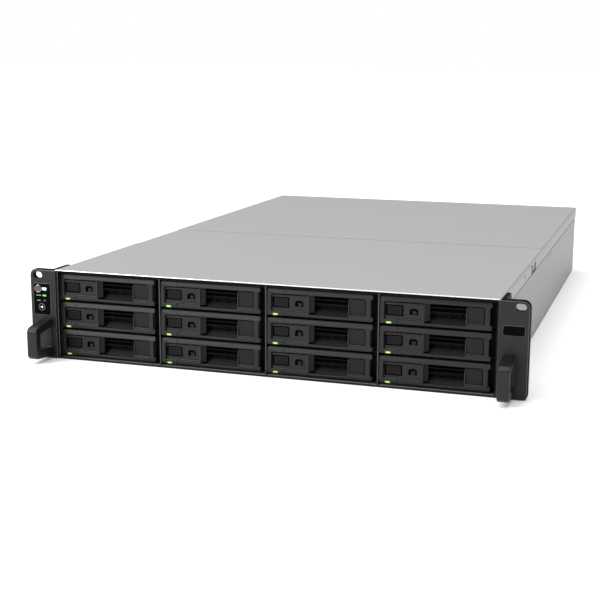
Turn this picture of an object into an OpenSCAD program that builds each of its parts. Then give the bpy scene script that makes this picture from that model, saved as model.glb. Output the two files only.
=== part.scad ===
// Rack-mounted network storage unit, two rack units high, with twelve drive bays.
// Frame: +Z up, the front faces -Y, and the origin is the centre of the base.

/* [Case] */
// Width of the case over its covers
body_w = 430.5; // [430:0.5:431.5]
// Height of the case and the ears
body_h = 88; // [87.5:0.5:88.5]
// Depth over everything, from the front handles to the supply handles
overall_d = 724; // [700:1:750]
// Thickness of the base's sheet steel
sheet = 1; // [0.8:0.1:1.2]
// Thickness of the covers' sheet steel
cover_t = 0.95; // [0.8:0.05:1]
// Depth of the front cover, over the drives
front_cover_d = 181; // [178:1:186]
// Depth of the hatch over the fans
hatch_d = 111; // [108:1:114]
// How far a cover's side flange comes down
flange_h = 13.5; // [12:0.5:14]
// Gap between two covers
cover_gap = 0.5; // [0.4:0.1:0.8]
// How far the hatch lies below the covers
hatch_drop = 0.5; // [0:0.1:0.6]

/* [Rack ears] */
// Width across both ears
ears_w = 482; // [481:0.5:483]
// Thickness of an ear, and how far the case stands behind its face
ear_t = 6.4; // [6:0.1:7]
// Distance between the two mounting slots
slot_pitch = 465.1; // [464.5:0.1:465.5]
// Length of a mounting slot
slot_l = 9.6; // [9.2:0.1:10]
// Width of a mounting slot
slot_w = 6.6; // [6.4:0.1:6.8]
// Height of the mounting slots above the base
slot_z = 82; // [81.5:0.1:82.2]
// How far a handle stands out in front of the ears
handle_reach = 30; // [28:1:34]
// Width of a handle
handle_w = 10.3; // [9:0.1:11]
// Distance from the middle of the case to a handle's inner side
handle_x = 219.3; // [218.5:0.1:220]

/* [Drive bays] */
// Bays across
bay_cols = 4; // [4]
// Bays high
bay_rows = 3; // [3]
// Distance between bay columns
col_pitch = 106.5; // [106.4:0.1:106.6]
// Distance between bay rows
row_pitch = 27.4; // [27.3:0.1:27.5]
// Height of the lowest tray front above the base
bay_z0 = 2.7; // [2.6:0.1:2.8]
// Height of a tray front
front_h = 26.2; // [26:0.1:26.3]
// Width of a drive
drive_w = 101.6; // [101:0.1:101.6]
// Depth of a drive
drive_d = 147; // [140:1:147]
// Height of a drive
drive_h = 26.1; // [25:0.1:26.1]
// Radius of a lever's hinge pin
hinge_r = 1; // [0.8:0.1:1]

/* [Fans and supplies] */
// Fans across
fan_count = 3; // [3]
// Distance between fans
fan_pitch = 135; // [120:1:138]
// Width and height of a fan
fan_w = 80; // [78:1:82]
// Depth of a fan
fan_d = 38; // [32:1:38]
// Blades on a rotor
blade_count = 7; // [5:1:9]
// Width of a power supply
psu_w = 73.5; // [72:0.5:74]
// Height of a power supply
psu_h = 39.6; // [39:0.1:39.8]
// Depth of a power supply inside the case
psu_d = 185; // [170:1:190]

/* [Hidden] */
BAYS = bay_cols * bay_rows;
$fn = 48;

// Places along the depth, counted from the front of the ears
ear_y = handle_reach - overall_d / 2;
case_y = ear_y + 2;
face_y = ear_y + 6;
rear_y = ear_y + 676;
hatch_y = case_y + front_cover_d + cover_gap;
rear_cover_y = hatch_y + hatch_d + cover_gap;
latch_y = hatch_y + 19;
cage_rear_y = face_y + 165.5;

// Widths and heights of the shell
case_x = body_w / 2;
wall_x = case_x - 0.55;
inner_x = wall_x - sheet;
upper_x = wall_x - 0.5;
cover_z = body_h - 0.2;
flange_z = cover_z - flange_h;
wall_top = cover_z - cover_t - hatch_drop - 0.2;

// Clearances
gap = 0.35;
run_gap = 0.05;

// Side rail screws: places along the side, and height
rail_screw_y = [ear_y + 235, ear_y + 467, ear_y + 552];
rail_screw_z = 19.4;
rail_screw_r = 2;

// A tray front's outlines, from its lower left corner
front_x0 = 1.2;
front_x1 = 101.4;
post_x1 = 99.4;
seam_x = 17.5;
recess_z0 = 5.9;
recess_z1 = 20.9;
plate_x1 = 40.1;
ridge_x = 40.5;
vent_x1 = 77.9;
pull_x0 = 78.2;
rail_d = 4.2;
sill_z = 3.3;
wall_y = 10.2;
tray_wall = 2;
pin_x = 97.3;
pin_y = 7;
release_w = 13.8;
release_h = 8.6;
release_x = 8;
release_z = 9.3;

// The supplies' sleeve, stacked beside the rear ports
psu_x0 = 132;
psu_z0 = [3.2, 44.2];
sleeve_t = 0.8;
sleeve_gap = 0.6;

// The mainboard and its rear ports
board_z = 7.2;
board_t = 1.6;
board_x = [-205, 124];
board_y = [ear_y + 330, rear_y - 9];
port_z = board_z + board_t;
jack_w = 16;
jack_h = 13.6;
jack_d = 21;
jack_x = [for (k = [0:3]) -186 + k * 18];
usb_x = [-108, -88];
link_x = -66;

// The fans
fan_y = ear_y + 199;
fan_z = body_h / 2 - 0.6;
fan_bore_r = fan_w / 2 - 1.6;
rotor_r = fan_bore_r - 1.8;
hub_r = 17.5;
shaft_r = 2;

// The control panel's keys, on the left ear
key_x = [-232.1, -228.5];
key_z = [68.8, 51];
key_w = [8.4, 8.4];
key_h = [8.6, 9];
key_r = 2.6;
key_d = 4.6;

function bay_x(k) = ((k % bay_cols) - bay_cols / 2) * col_pitch;
function bay_z(k) = bay_z0 + (bay_rows - 1 - floor(k / bay_cols)) * row_pitch;
function fan_x(k) = (k - (fan_count - 1) / 2) * fan_pitch;

// A box between two opposite corners
module span(low, high) {
    translate(low) cube(high - low);
}

// A shape and its mirror image in the case's middle plane
module both_sides() {
    children();
    mirror([1, 0, 0]) children();
}

// A flat outline in X and Z, made into a plate that runs back from y
module plate_xz(y, depth) {
    translate([0, y + depth, 0]) rotate([90, 0, 0]) linear_extrude(depth) children();
}

// A flat outline in Y and Z, made into a bar that runs to the right from x
module bar_yz(x, width) {
    translate([x, 0, 0]) rotate([90, 0, 90]) linear_extrude(width) children();
}

// A rectangle with round corners, about its centre
module round_rect(w, h, r) {
    square([w - 2 * r, h], center = true);
    square([w, h - 2 * r], center = true);
    for (x = [-1, 1], z = [-1, 1])
        translate([x * (w / 2 - r), z * (h / 2 - r)]) circle(r);
}

// A slot with round ends, about its centre
module round_slot(l, w) {
    square([l - w, w], center = true);
    for (x = [-1, 1]) translate([x * (l - w) / 2, 0]) circle(w / 2);
}

// A cylinder that runs back along Y
module along_y(r, depth) {
    rotate([-90, 0, 0]) cylinder(r = r, h = depth);
}

// One side wall, thinner at the top where the covers' flanges lie outside it
module side_wall() {
    difference() {
        union() {
            span([inner_x, case_y, 0], [wall_x, rear_y - 2.4, flange_z - 0.5]);
            span([inner_x, case_y, flange_z - 0.6], [upper_x, rear_y - 2.4, wall_top]);
        }
        span([inner_x - 1, latch_y - 1, flange_z - 0.6], [case_x, latch_y + 15, body_h]);
        for (y = rail_screw_y)
            translate([inner_x - 1, y, rail_screw_z]) rotate([0, 90, 0]) cylinder(r = rail_screw_r, h = 4);
    }
}

module chassis_base() {
    color("silver") {
        span([-wall_x, case_y, 0], [wall_x, rear_y - 2.4, sheet + 0.2]);
        span([-inner_x, case_y, 0], [inner_x, case_y + sheet, 2.1]);
        both_sides() side_wall();
    }
}

// A cover's top sheet, at height z, with its two side flanges
module cover_shell(y0, y1, z) {
    span([-case_x, y0, z - cover_t], [case_x, y1, z]);
    both_sides() span([case_x - cover_t, y0, flange_z], [case_x, y1, z]);
}

module front_cover() {
    color("lightgray") difference() {
        union() {
            cover_shell(case_y, case_y + front_cover_d, cover_z);
            span([-case_x, case_y, cover_z - 1.5], [case_x, case_y + 1, cover_z]);
        }
        both_sides() span([case_x - 2, ear_y + 151.5, 79], [case_x + 1, ear_y + 153.5, 83.6]);
    }
}

module fan_hatch() {
    color("lightgray") difference() {
        cover_shell(hatch_y, hatch_y + hatch_d, cover_z - hatch_drop);
        both_sides() span([case_x - 3, latch_y, flange_z - 1], [case_x + 1, latch_y + 37, 82.7]);
    }
}

// A thumb latch in the hatch's side, with a grip plate behind it
module hatch_latch() {
    span([case_x - 3, latch_y + 0.5, flange_z + 0.3], [case_x - 0.1, latch_y + 13.5, 82.3]);
    span([case_x - 2.6, latch_y + 3, 75], [case_x - 1.2, latch_y + 11, 82.6]);
}

module hatch_latch_left() {
    color("black") mirror([1, 0, 0]) hatch_latch();
}

module hatch_latch_right() {
    color("black") hatch_latch();
}

// Places across the rear cover's lip where a captive screw holds it
screw_x = [-150, -30, 90];

module rear_cover() {
    color("lightgray") {
        cover_shell(rear_cover_y, rear_y, cover_z);
        span([-case_x, rear_y - 1, 84.8], [case_x, rear_y, cover_z]);
        for (x = screw_x)
            span([x - 8, rear_y - 1, 76], [x + 8, rear_y, cover_z]);
    }
}

module cover_screws() {
    color("gray") for (x = screw_x)
        translate([x, rear_y, 80.5]) {
            along_y(3.8, 4.5);
            along_y(4.8, 2);
        }
}

// Cut-outs in the rear panel: the ports, two card slots and the air vents
module rear_cutouts(y) {
    span([-198, y, port_z - 0.6], [-52, y + 4, port_z + 19]);
    for (k = [0:1])
        span([-40 + k * 24, y, 12], [-24 + k * 24, y + 4, 72]);
    for (k = [0:7])
        span([-196 + k * 18, y, 38], [-184 + k * 18, y + 4, 70]);
    for (k = [0:4])
        span([20 + k * 20, y, 18], [32 + k * 20, y + 4, 66]);
    for (z = psu_z0)
        span([psu_x0 - gap, y, z - gap], [psu_x0 + psu_w + gap, y + 4, z + psu_h + gap]);
}

// The sleeve that guides both supplies
module psu_sleeve() {
    y0 = rear_y - psu_d - 4;
    y1 = rear_y - 2;
    low = psu_z0[0] - sleeve_gap;
    high = psu_z0[1] + psu_h + sleeve_gap;
    mid = (psu_z0[0] + psu_h + psu_z0[1]) / 2;
    left = psu_x0 - sleeve_gap;
    right = psu_x0 + psu_w + sleeve_gap;
    span([left - sleeve_t, y0, low - sleeve_t], [left, y1, high + sleeve_t]);
    span([right, y0, low - sleeve_t], [right + sleeve_t, y1, high + sleeve_t]);
    span([left - sleeve_t, y0, low - sleeve_t], [right + sleeve_t, y1, low]);
    span([left - sleeve_t, y0, high], [right + sleeve_t, y1, high + sleeve_t]);
    span([left, y0, mid - 0.3], [right, y1, mid + 0.3]);
}

module rear_panel() {
    color("silver") {
        difference() {
            union() {
                span([-wall_x, rear_y - 2.3, 0], [wall_x, rear_y - 1.2, flange_z - 0.5]);
                span([-upper_x, rear_y - 2.3, flange_z - 0.6], [upper_x, rear_y - 1.2, wall_top]);
            }
            rear_cutouts(rear_y - 4);
        }
        for (k = [0:1])
            span([-42 + k * 24, rear_y - 1.2, 10], [-22 + k * 24, rear_y - 0.4, 74]);
        psu_sleeve();
    }
}

// The bays' walls, with a ledge under each side of every tray
module drive_cage() {
    color("gainsboro") {
        span([-2 * col_pitch - 0.5, face_y + 2, 1.3], [2 * col_pitch + 0.5, cage_rear_y, 2.1]);
        span([-2 * col_pitch - 0.5, face_y + 2, 84.4], [2 * col_pitch + 0.5, cage_rear_y, 85.2]);
        for (c = [0:bay_cols])
            translate([(c - bay_cols / 2) * col_pitch, 0, 0])
                span([-0.5, face_y - 0.3, 1.3], [0.5, cage_rear_y, 85.2]);
        for (k = [0:BAYS - 1])
            translate([bay_x(k), 0, bay_z(k)]) {
                span([0.4, face_y + 14, 1], [2, cage_rear_y, 2.6]);
                span([col_pitch - 2, face_y + 14, 1], [col_pitch - 0.4, cage_rear_y, 2.6]);
            }
    }
}

// The board behind the drives, with a connector and an air hole for each bay
module backplane() {
    board_y0 = cage_rear_y + 0.7;
    color("darkgreen") {
        difference() {
            span([-208, board_y0, 3], [208, board_y0 + 2, 84]);
            for (k = [0:BAYS - 1])
                translate([bay_x(k) + 66, board_y0 - 1, bay_z(k) + 6]) cube([32, 4, 14]);
        }
        for (k = [0:BAYS - 1])
            translate([bay_x(k) + 12, board_y0 - 5.5, bay_z(k) + 4]) cube([44, 5.6, 6]);
    }
}

// One fan's square housing, with the motor's plate and shaft on its rear side
module fan_housing() {
    difference() {
        span([-fan_w / 2, 0, -fan_w / 2], [fan_w / 2, fan_d, fan_w / 2]);
        translate([0, -1, 0]) along_y(fan_bore_r, fan_d + 2);
    }
    intersection() {
        union() {
            for (a = [45:90:315])
                rotate([0, a, 0]) span([-2, fan_d - 3, hub_r - 2], [2, fan_d - 0.5, fan_bore_r + 2]);
        }
        along_y(fan_bore_r + 1, fan_d);
    }
    translate([0, fan_d - 3, 0]) along_y(hub_r, 2.5);
    translate([0, fan_d - 18, 0]) along_y(shaft_r, 16);
}

module fan_frame() {
    color("dimgray") {
        for (k = [0:fan_count - 1])
            translate([fan_x(k), fan_y, fan_z]) fan_housing();
        span([-206, fan_y + 2, 2], [206, fan_y + fan_d - 2, 3.2]);
        for (k = [0:fan_count])
            translate([(k - fan_count / 2) * fan_pitch, fan_y + 4, 2]) upright();
    }
}

// An upright plate between two fans
module upright() {
    span([-2, 0, 0], [2, fan_d - 8, 70]);
}

// A rotor: the hub, its blind bore for the shaft, and the pitched blades
module fan_rotor(k) {
    color("black") translate([fan_x(k), fan_y, fan_z]) difference() {
        union() {
            translate([0, 5, 0]) along_y(hub_r, 27);
            intersection() {
                union() {
                    for (b = [0:blade_count - 1])
                        rotate([0, b * 360 / blade_count, 0])
                            translate([0, 18, hub_r - 2])
                                rotate([0, 0, 40]) span([-14, -0.7, 0], [14, 0.7, 30]);
                }
                translate([0, 6, 0]) along_y(rotor_r, 25);
            }
        }
        translate([0, fan_d - 19, 0]) along_y(shaft_r + run_gap, 20);
    }
}

// A network jack, a box open to the rear
module jack(x) {
    y1 = rear_y - 0.2;
    difference() {
        span([x, y1 - jack_d, port_z], [x + jack_w, y1, port_z + jack_h]);
        span([x + 2, y1 - 15, port_z + 2], [x + jack_w - 2, y1 + 1, port_z + 10.5]);
    }
}

// Two stacked sockets in one shell
module double_socket(x, w) {
    y1 = rear_y - 0.2;
    difference() {
        span([x, y1 - 18, port_z], [x + w, y1, port_z + 16]);
        for (z = [1, 8.8])
            span([x + 1, y1 - 13, port_z + z], [x + w - 1, y1 + 1, port_z + z + 6]);
    }
}

// The cooler: a base with upright fins
module heatsink() {
    span([-118, ear_y + 420, port_z], [-38, ear_y + 510, port_z + 6]);
    for (k = [0:12])
        translate([-118 + k * 6.55, ear_y + 420, port_z + 5]) cube([1.4, 90, 52]);
}

module mainboard() {
    color("darkgreen") {
        span([board_x[0], board_y[0], board_z], [board_x[1], board_y[1], port_z]);
        for (x = [-196, -40, 114], y = [ear_y + 340, ear_y + 500, ear_y + 650])
            translate([x, y, sheet + 0.2]) cylinder(r = 3, h = board_z - sheet - 0.2);
        heatsink();
        for (k = [0:3])
            translate([-10 + k * 11, ear_y + 400, port_z]) cube([5, 140, 31]);
        span([60, ear_y + 560, port_z], [112, ear_y + 612, port_z + 4]);
        for (x = jack_x)
            jack(x);
        for (x = usb_x)
            double_socket(x, 15);
        double_socket(link_x - 2, 14);
    }
}

// An ear's face from the front, with its outer corners rounded
module ear_outline() {
    top_r = 6.5;
    low_r = 5;
    x0 = case_x + 0.1;
    x1 = ears_w / 2;
    difference() {
        union() {
            difference() {
                translate([x0, 0]) square([x1 - x0, body_h]);
                translate([x1 - top_r, body_h - top_r]) square(top_r + 1);
                translate([x1 - low_r, -1]) square(low_r + 1);
            }
            translate([x1 - top_r, body_h - top_r]) quarter(top_r, 1);
            translate([x1 - low_r, low_r]) quarter(low_r, -1);
        }
        translate([slot_pitch / 2, slot_z]) round_slot(slot_l, slot_w);
    }
}

// A quarter disc that opens to the right, up for 1 and down for -1
module quarter(r, way) {
    intersection() {
        circle(r);
        translate([0, way > 0 ? 0 : -r]) square(r);
    }
}

// The handle's outline from the side: a bar on two arms, round the finger gap
module handle_outline() {
    r = handle_reach;
    difference() {
        polygon([
            [0.5, 40], [6 - r, 36.6], [2 - r, 35.2], [-r, 32.8], [-r, 8.2], [2 - r, 5.6], [0.5, 2.4]
        ]);
        polygon([[-1.5, 31.5], [10 - r, 29.2], [8 - r, 27], [8 - r, 14.4], [10 - r, 12.4], [-1.5, 11.6]]);
    }
}

// The right ear: its face, the arm along the case's side, the handle and two screws
module ear() {
    plate_xz(ear_y, ear_t) ear_outline();
    span([inner_x + 0.5, ear_y, 0.5], [case_x + 1, ear_y + 1.7, cover_z]);
    span([case_x + 0.1, ear_y + ear_t - 1, 1], [case_x + 3.8, ear_y + 38, body_h]);
    translate([0, ear_y, 0]) bar_yz(handle_x, handle_w) handle_outline();
    for (z = [14, 62])
        translate([case_x + 3.6, ear_y + 30, z]) rotate([0, 90, 0]) cylinder(r = 3, h = 1.8);
}

// The name plate's recess, on the right ear
plate_mid = [227.6, 61.3];
plate_size = [18, 8.4];
// The control panel's recess, on the left ear
panel_mid = [-227.5, 58.7];
panel_size = [16.8, 30.6];
inset = 1.2;
// How far the inserts and the keys stand out in front of the ears
proud = 0.6;

module ear_right() {
    color("black") difference() {
        ear();
        plate_xz(ear_y - 1, inset + 1)
            translate(plate_mid) round_rect(plate_size[0] + 0.2, plate_size[1] + 0.2, 1.5);
    }
}

module ear_left() {
    color("black") difference() {
        mirror([1, 0, 0]) ear();
        plate_xz(ear_y - 1, inset + 1)
            translate(panel_mid) round_rect(panel_size[0] + 0.2, panel_size[1] + 0.2, 2);
        for (k = [0:1])
            plate_xz(ear_y, ear_t - 1) key_outline(k, gap);
    }
}

// A key's outline from the front, grown by a margin
module key_outline(k, margin) {
    translate([key_x[k], key_z[k]])
        round_rect(key_w[k] + 2 * margin, key_h[k] + 2 * margin, key_r + margin);
}

module panel_inserts() {
    color("#101010") {
        difference() {
            plate_xz(ear_y - proud, inset + proud)
                translate(panel_mid) round_rect(panel_size[0], panel_size[1], 1.9);
            for (k = [0:1])
                plate_xz(ear_y - 1, ear_t) key_outline(k, gap);
        }
        plate_xz(ear_y - proud, inset + proud)
            translate(plate_mid) round_rect(plate_size[0], plate_size[1], 1.4);
    }
}

module power_button() {
    color("darkred") plate_xz(ear_y - proud - 0.3, key_d) key_outline(0, 0);
}

module mute_button() {
    color("black") plate_xz(ear_y - proud - 0.3, key_d) key_outline(1, 0);
}

// A supply's case, with its mains inlet, fan vents and carrying handle
module psu(k) {
    z0 = psu_z0[k];
    mid = z0 + psu_h / 2;
    y0 = rear_y - psu_d;
    handle_y = overall_d / 2;
    color("silver") {
        difference() {
            span([psu_x0, y0, z0], [psu_x0 + psu_w, rear_y, z0 + psu_h]);
            span([psu_x0 + 1.2, y0 + 1.2, z0 + 1.2], [psu_x0 + psu_w - 1.2, rear_y - 22, z0 + psu_h - 1.2]);
            span([psu_x0 + 45, rear_y - 16, mid - 4], [psu_x0 + 69, rear_y + 1, mid + 12.6]);
            span([psu_x0 + 43, rear_y - 12, mid - 16.5], [psu_x0 + 69, rear_y + 1, mid - 8.5]);
            for (s = [0:4])
                span([psu_x0 + 5, rear_y - 8, mid - 15 + s * 6.6], [psu_x0 + 37, rear_y + 1, mid - 11.4 + s * 6.6]);
        }
        for (p = [[51, 6.5], [57, 1], [63, 6.5]])
            translate([psu_x0 + p[0] - 1, rear_y - 17, mid + p[1] - 2]) cube([2, 9, 4]);
        for (x = [6, 33])
            span([psu_x0 + x, rear_y - 0.5, mid - 4], [psu_x0 + x + 3, handle_y, mid + 4]);
        span([psu_x0 + 6, handle_y - 3.5, mid - 4], [psu_x0 + 36, handle_y, mid + 4]);
    }
}

// The thumb tab that releases a supply, in a slot under its inlet
module psu_latch(k) {
    mid = psu_z0[k] + psu_h / 2;
    color("darkred") {
        span([psu_x0 + 48, rear_y - 10, mid - 15.5], [psu_x0 + 66, rear_y + 1, mid - 9.5]);
        span([psu_x0 + 52, rear_y, mid - 15.5], [psu_x0 + 62, rear_y + 7, mid - 9.5]);
    }
}

// The fixed part of a tray's front: the release button's end, the lock plate and the louvres
module tray_front() {
    difference() {
        union() {
            span([front_x0, 0, 0], [seam_x - 0.2, wall_y, front_h]);
            span([seam_x - 0.3, 1, recess_z0 + 0.3], [plate_x1, wall_y, recess_z1 - 0.3]);
        }
        span([5.7, -1, recess_z0 + 0.3], [seam_x, 1, recess_z1 - 0.3]);
        span([6.6, -1, 9], [22.2, wall_y, 18.7]);
        span([27.8, -1, 10.6], [35.6, 4, 16.3]);
    }
    span([30.2, 1.4, 10.4], [34, 4.5, 13.8]);
    for (z = [12.6, 16.8])
        span([ridge_x + 1.3, rail_d + 0.5, z], [vent_x1, wall_y + 0.5, z + 1]);
    translate([ridge_x, 0, 0]) vent_floor();
    span([seam_x, rail_d + 0.5, 24.4], [92, wall_y + 0.5, 25.8]);
}

// The sloping floor under the louvres
module vent_floor() {
    bar_yz(0, vent_x1 - ridge_x)
        polygon([[rail_d + 0.5, 0.4], [wall_y + 0.1, 0.4], [wall_y + 0.1, 6.9], [rail_d + 0.5, 2.3]]);
}

// The boss that carries the lever's hinge pin
module hinge_boss() {
    difference() {
        span([pin_x - 2, pin_y - 2, 6.5], [pin_x + 2, wall_y + 0.5, 19.5]);
        translate([pin_x, pin_y, 0]) cylinder(r = hinge_r + run_gap, h = 25);
    }
}

// A drive tray with its drive
module tray(k) {
    side_x = 0.8;
    side_t = 1.4;
    tray_d = 158;
    drive_x = (col_pitch - drive_w) / 2;
    color("#2b2b2b") translate([bay_x(k), face_y, bay_z(k)]) {
        tray_front();
        hinge_boss();
        difference() {
            span([side_x, wall_y, 0.6], [col_pitch - side_x, wall_y + tray_wall, 25.6]);
            for (n = [0:4])
                span([44 + n * 9.6, wall_y - 1, 8], [51 + n * 9.6, wall_y + 3, 21]);
        }
        for (x = [side_x, col_pitch - side_x - side_t])
            span([x, wall_y + 1, 2.95], [x + side_t, tray_d, 23]);
        span([drive_x, wall_y + tray_wall + 0.4, 0.05], [drive_x + drive_w, wall_y + tray_wall + 0.4 + drive_d, 0.05 + drive_h]);
    }
}

// The pull lever: an open frame round the louvres, hinged at the tray's right end
module lever(k) {
    color("#333333") translate([bay_x(k), face_y, bay_z(k)]) {
        span([seam_x + 0.2, 0, 0], [front_x1, rail_d, sill_z]);
        span([seam_x + 0.2, 0, 0], [ridge_x + 1, rail_d, recess_z0]);
        span([pull_x0, 0, 0], [front_x1, rail_d, recess_z0]);
        span([seam_x + 0.2, 0, recess_z1], [front_x1, rail_d, front_h]);
        span([94.6, 0, 0], [post_x1, rail_d, front_h]);
        span([ridge_x, 0.3, recess_z0 - 1], [ridge_x + 1, rail_d - 0.2, recess_z1 + 1]);
        span([pull_x0, 1, recess_z0 - 1], [post_x1 - 2, rail_d, recess_z1 + 1]);
        for (z = [2, 20])
            span([pin_x - 1.8, rail_d - 1, z], [pin_x + 1.8, pin_y + 1.8, z + 4]);
        translate([pin_x, pin_y, 2.5]) cylinder(r = hinge_r, h = 21);
    }
}

// The button that lets the lever go
module release_button(k) {
    color("#2b2b2b") translate([bay_x(k), face_y, bay_z(k)])
        span([release_x, 3.1, release_z], [release_x + release_w, wall_y - 2, release_z + release_h]);
}

chassis_base();
front_cover();
fan_hatch();
rear_cover();
rear_panel();
drive_cage();
backplane();
fan_frame();
mainboard();
ear_left();
ear_right();
panel_inserts();
power_button();
mute_button();
hatch_latch_left();
hatch_latch_right();
cover_screws();
for (k = [1:fan_count]) fan_rotor(k - 1);
for (k = [1:2]) psu(k - 1);
for (k = [1:2]) psu_latch(k - 1);
for (k = [1:BAYS]) tray(k - 1);
for (k = [1:BAYS]) lever(k - 1);
for (k = [1:BAYS]) release_button(k - 1);
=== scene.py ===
"""Looks of a two-unit rack storage unit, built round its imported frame.

Sizes in the classes are in millimetres, in the frame's own axes: +X to the right seen from the
front, +Y to the back, +Z up. Finished meshes are in metres. Places come from the frame's boxes.
"""

import logging
import math
from dataclasses import dataclass, field
from enum import Enum
from typing import Callable, Iterable, Optional, Sequence

import bmesh
import bpy
import numpy as np
from mathutils import Matrix, Vector
from mathutils.geometry import tessellate_polygon


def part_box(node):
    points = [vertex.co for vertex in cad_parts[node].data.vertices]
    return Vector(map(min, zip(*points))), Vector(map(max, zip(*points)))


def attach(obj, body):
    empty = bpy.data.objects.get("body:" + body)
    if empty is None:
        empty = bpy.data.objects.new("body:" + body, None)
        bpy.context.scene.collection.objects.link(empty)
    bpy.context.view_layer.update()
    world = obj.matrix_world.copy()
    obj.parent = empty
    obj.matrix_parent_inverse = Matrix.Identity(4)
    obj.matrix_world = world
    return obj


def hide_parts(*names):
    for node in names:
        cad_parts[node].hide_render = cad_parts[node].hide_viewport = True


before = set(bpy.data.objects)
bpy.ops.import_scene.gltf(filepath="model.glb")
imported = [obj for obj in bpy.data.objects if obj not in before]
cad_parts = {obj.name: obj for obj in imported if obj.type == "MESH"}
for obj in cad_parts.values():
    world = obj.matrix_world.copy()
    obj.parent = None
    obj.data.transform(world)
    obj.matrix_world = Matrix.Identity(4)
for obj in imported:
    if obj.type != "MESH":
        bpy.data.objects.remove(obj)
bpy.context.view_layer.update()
LOG = logging.getLogger("storage_unit")
MM = 0.001
PER_METRE = 1000.0
WELD = 1e-6
SLIVER = 1e-7
BAYS = 12


# ---------------------------------------------------------------- shapes


class Plane(Enum):
    """The plane that a flat outline is drawn in, as the axes of its width, height and depth."""

    FRONT = (0, 2, 1)
    SIDE = (1, 2, 0)
    FLAT = (0, 1, 2)


@dataclass
class Shell:
    """Closed surfaces, in millimetres."""

    points: np.ndarray = field(default_factory=lambda: np.zeros((0, 3)))
    faces: list[np.ndarray] = field(default_factory=list)

    def __add__(self, other: "Shell") -> "Shell":
        """Both shells as one.

        Args:
            other: The shell to add.

        Returns:
            One shell with the points of both.
        """
        shift = len(self.points)
        points = np.vstack([self.points, other.points])
        return Shell(points, self.faces + [f + shift for f in other.faces])

    def moved(self, x: float = 0.0, y: float = 0.0, z: float = 0.0) -> "Shell":
        """The shell at another place."""
        return Shell(self.points + np.array([x, y, z]), self.faces)

    def shaped(self, rule: Callable[[np.ndarray], np.ndarray]) -> "Shell":
        """The shell with a rule applied to all of its points at once."""
        return Shell(rule(self.points.copy()), self.faces)

    def mirrored(self) -> "Shell":
        """The shell's mirror image in the case's middle plane."""
        return Shell(self.points * np.array([-1.0, 1.0, 1.0]), self.faces)


def joined(shells: Iterable[Shell]) -> Shell:
    """All of the shells as one.

    Args:
        shells: The shells, in the order of their points.

    Returns:
        One shell.
    """
    total = Shell()
    for shell in shells:
        total = total + shell
    return total


def grid_faces(rows: int, columns: int, start: int = 0) -> np.ndarray:
    """Quads of a grid whose columns close on themselves.

    Args:
        rows: Number of rows of points.
        columns: Number of points in a row.
        start: Index of the grid's first point.

    Returns:
        An array of four indices for each quad.
    """
    row, column = np.meshgrid(np.arange(rows - 1), np.arange(columns), indexing="ij")
    nxt = (column + 1) % columns
    quads = [
        row * columns + column, row * columns + nxt, (row + 1) * columns + nxt, (row + 1) * columns + column
    ]
    return np.stack([q.ravel() for q in quads], axis=1) + start


def rounded(
    corners: Sequence[Sequence[float]], radius: float | Sequence[float], steps: int = 3
) -> np.ndarray:
    """A closed outline with an arc at each corner.

    The arc's centre lies on the corner's bisector at radius / sin(half the corner's angle), and
    its points turn evenly from one tangent point to the other.

    Args:
        corners: The outline's corner points, in order.
        radius: One radius for all corners, or one for each.
        steps: Segments in each arc.

    Returns:
        The outline's points, steps + 1 for each corner.
    """
    p = np.asarray(corners, float)
    r = np.maximum(np.broadcast_to(np.asarray(radius, float), len(p)), 0.02)[:, None]
    back = np.roll(p, 1, axis=0) - p
    ahead = np.roll(p, -1, axis=0) - p
    back /= np.linalg.norm(back, axis=1, keepdims=True)
    ahead /= np.linalg.norm(ahead, axis=1, keepdims=True)
    half = 0.5 * np.arccos(np.clip((back * ahead).sum(1, keepdims=True), -1, 1))
    bisector = (back + ahead) / np.linalg.norm(back + ahead, axis=1, keepdims=True)
    centre = p + bisector * r / np.sin(half)
    first = (p + back * r / np.tan(half) - centre) / r
    last = (p + ahead * r / np.tan(half) - centre) / r
    sweep = np.pi - 2 * half
    t = np.linspace(0, 1, steps + 1)[None, :]
    weights = np.sin((1 - t) * sweep) / np.sin(sweep), np.sin(t * sweep) / np.sin(sweep)
    arc = first[:, None, :] * weights[0][..., None] + last[:, None, :] * weights[1][..., None]
    return (centre[:, None, :] + arc * r[:, None, :]).reshape(-1, 2)


def rectangle(x0: float, z0: float, x1: float, z1: float, radius: float = 0.0, steps: int = 3) -> np.ndarray:
    """A rectangle's outline with round corners."""
    return rounded([(x0, z0), (x1, z0), (x1, z1), (x0, z1)], radius, steps)


def circle(x: float, z: float, radius: float, sides: int = 24, turn: float = 0.0) -> np.ndarray:
    """A circle's outline, or a regular polygon's with few sides."""
    angle = np.linspace(0, 2 * np.pi, sides, endpoint=False) + turn
    return np.stack([x + radius * np.cos(angle), z + radius * np.sin(angle)], axis=1)


def offset_loop(loop: np.ndarray, distance: float) -> np.ndarray:
    """The outline moved into the material, which lies on its left, by a distance along its mitres.

    Args:
        loop: The closed outline.
        distance: How far it moves, in millimetres.

    Returns:
        The moved outline, point for point.
    """
    edge = np.roll(loop, -1, axis=0) - loop
    edge /= np.maximum(np.linalg.norm(edge, axis=1, keepdims=True), 1e-9)
    normal = np.stack([-edge[:, 1], edge[:, 0]], axis=1)
    before = np.roll(normal, 1, axis=0)
    scale = 1 + (normal * before).sum(1, keepdims=True)
    return loop + distance * (normal + before) / np.maximum(scale, 0.2)


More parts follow.
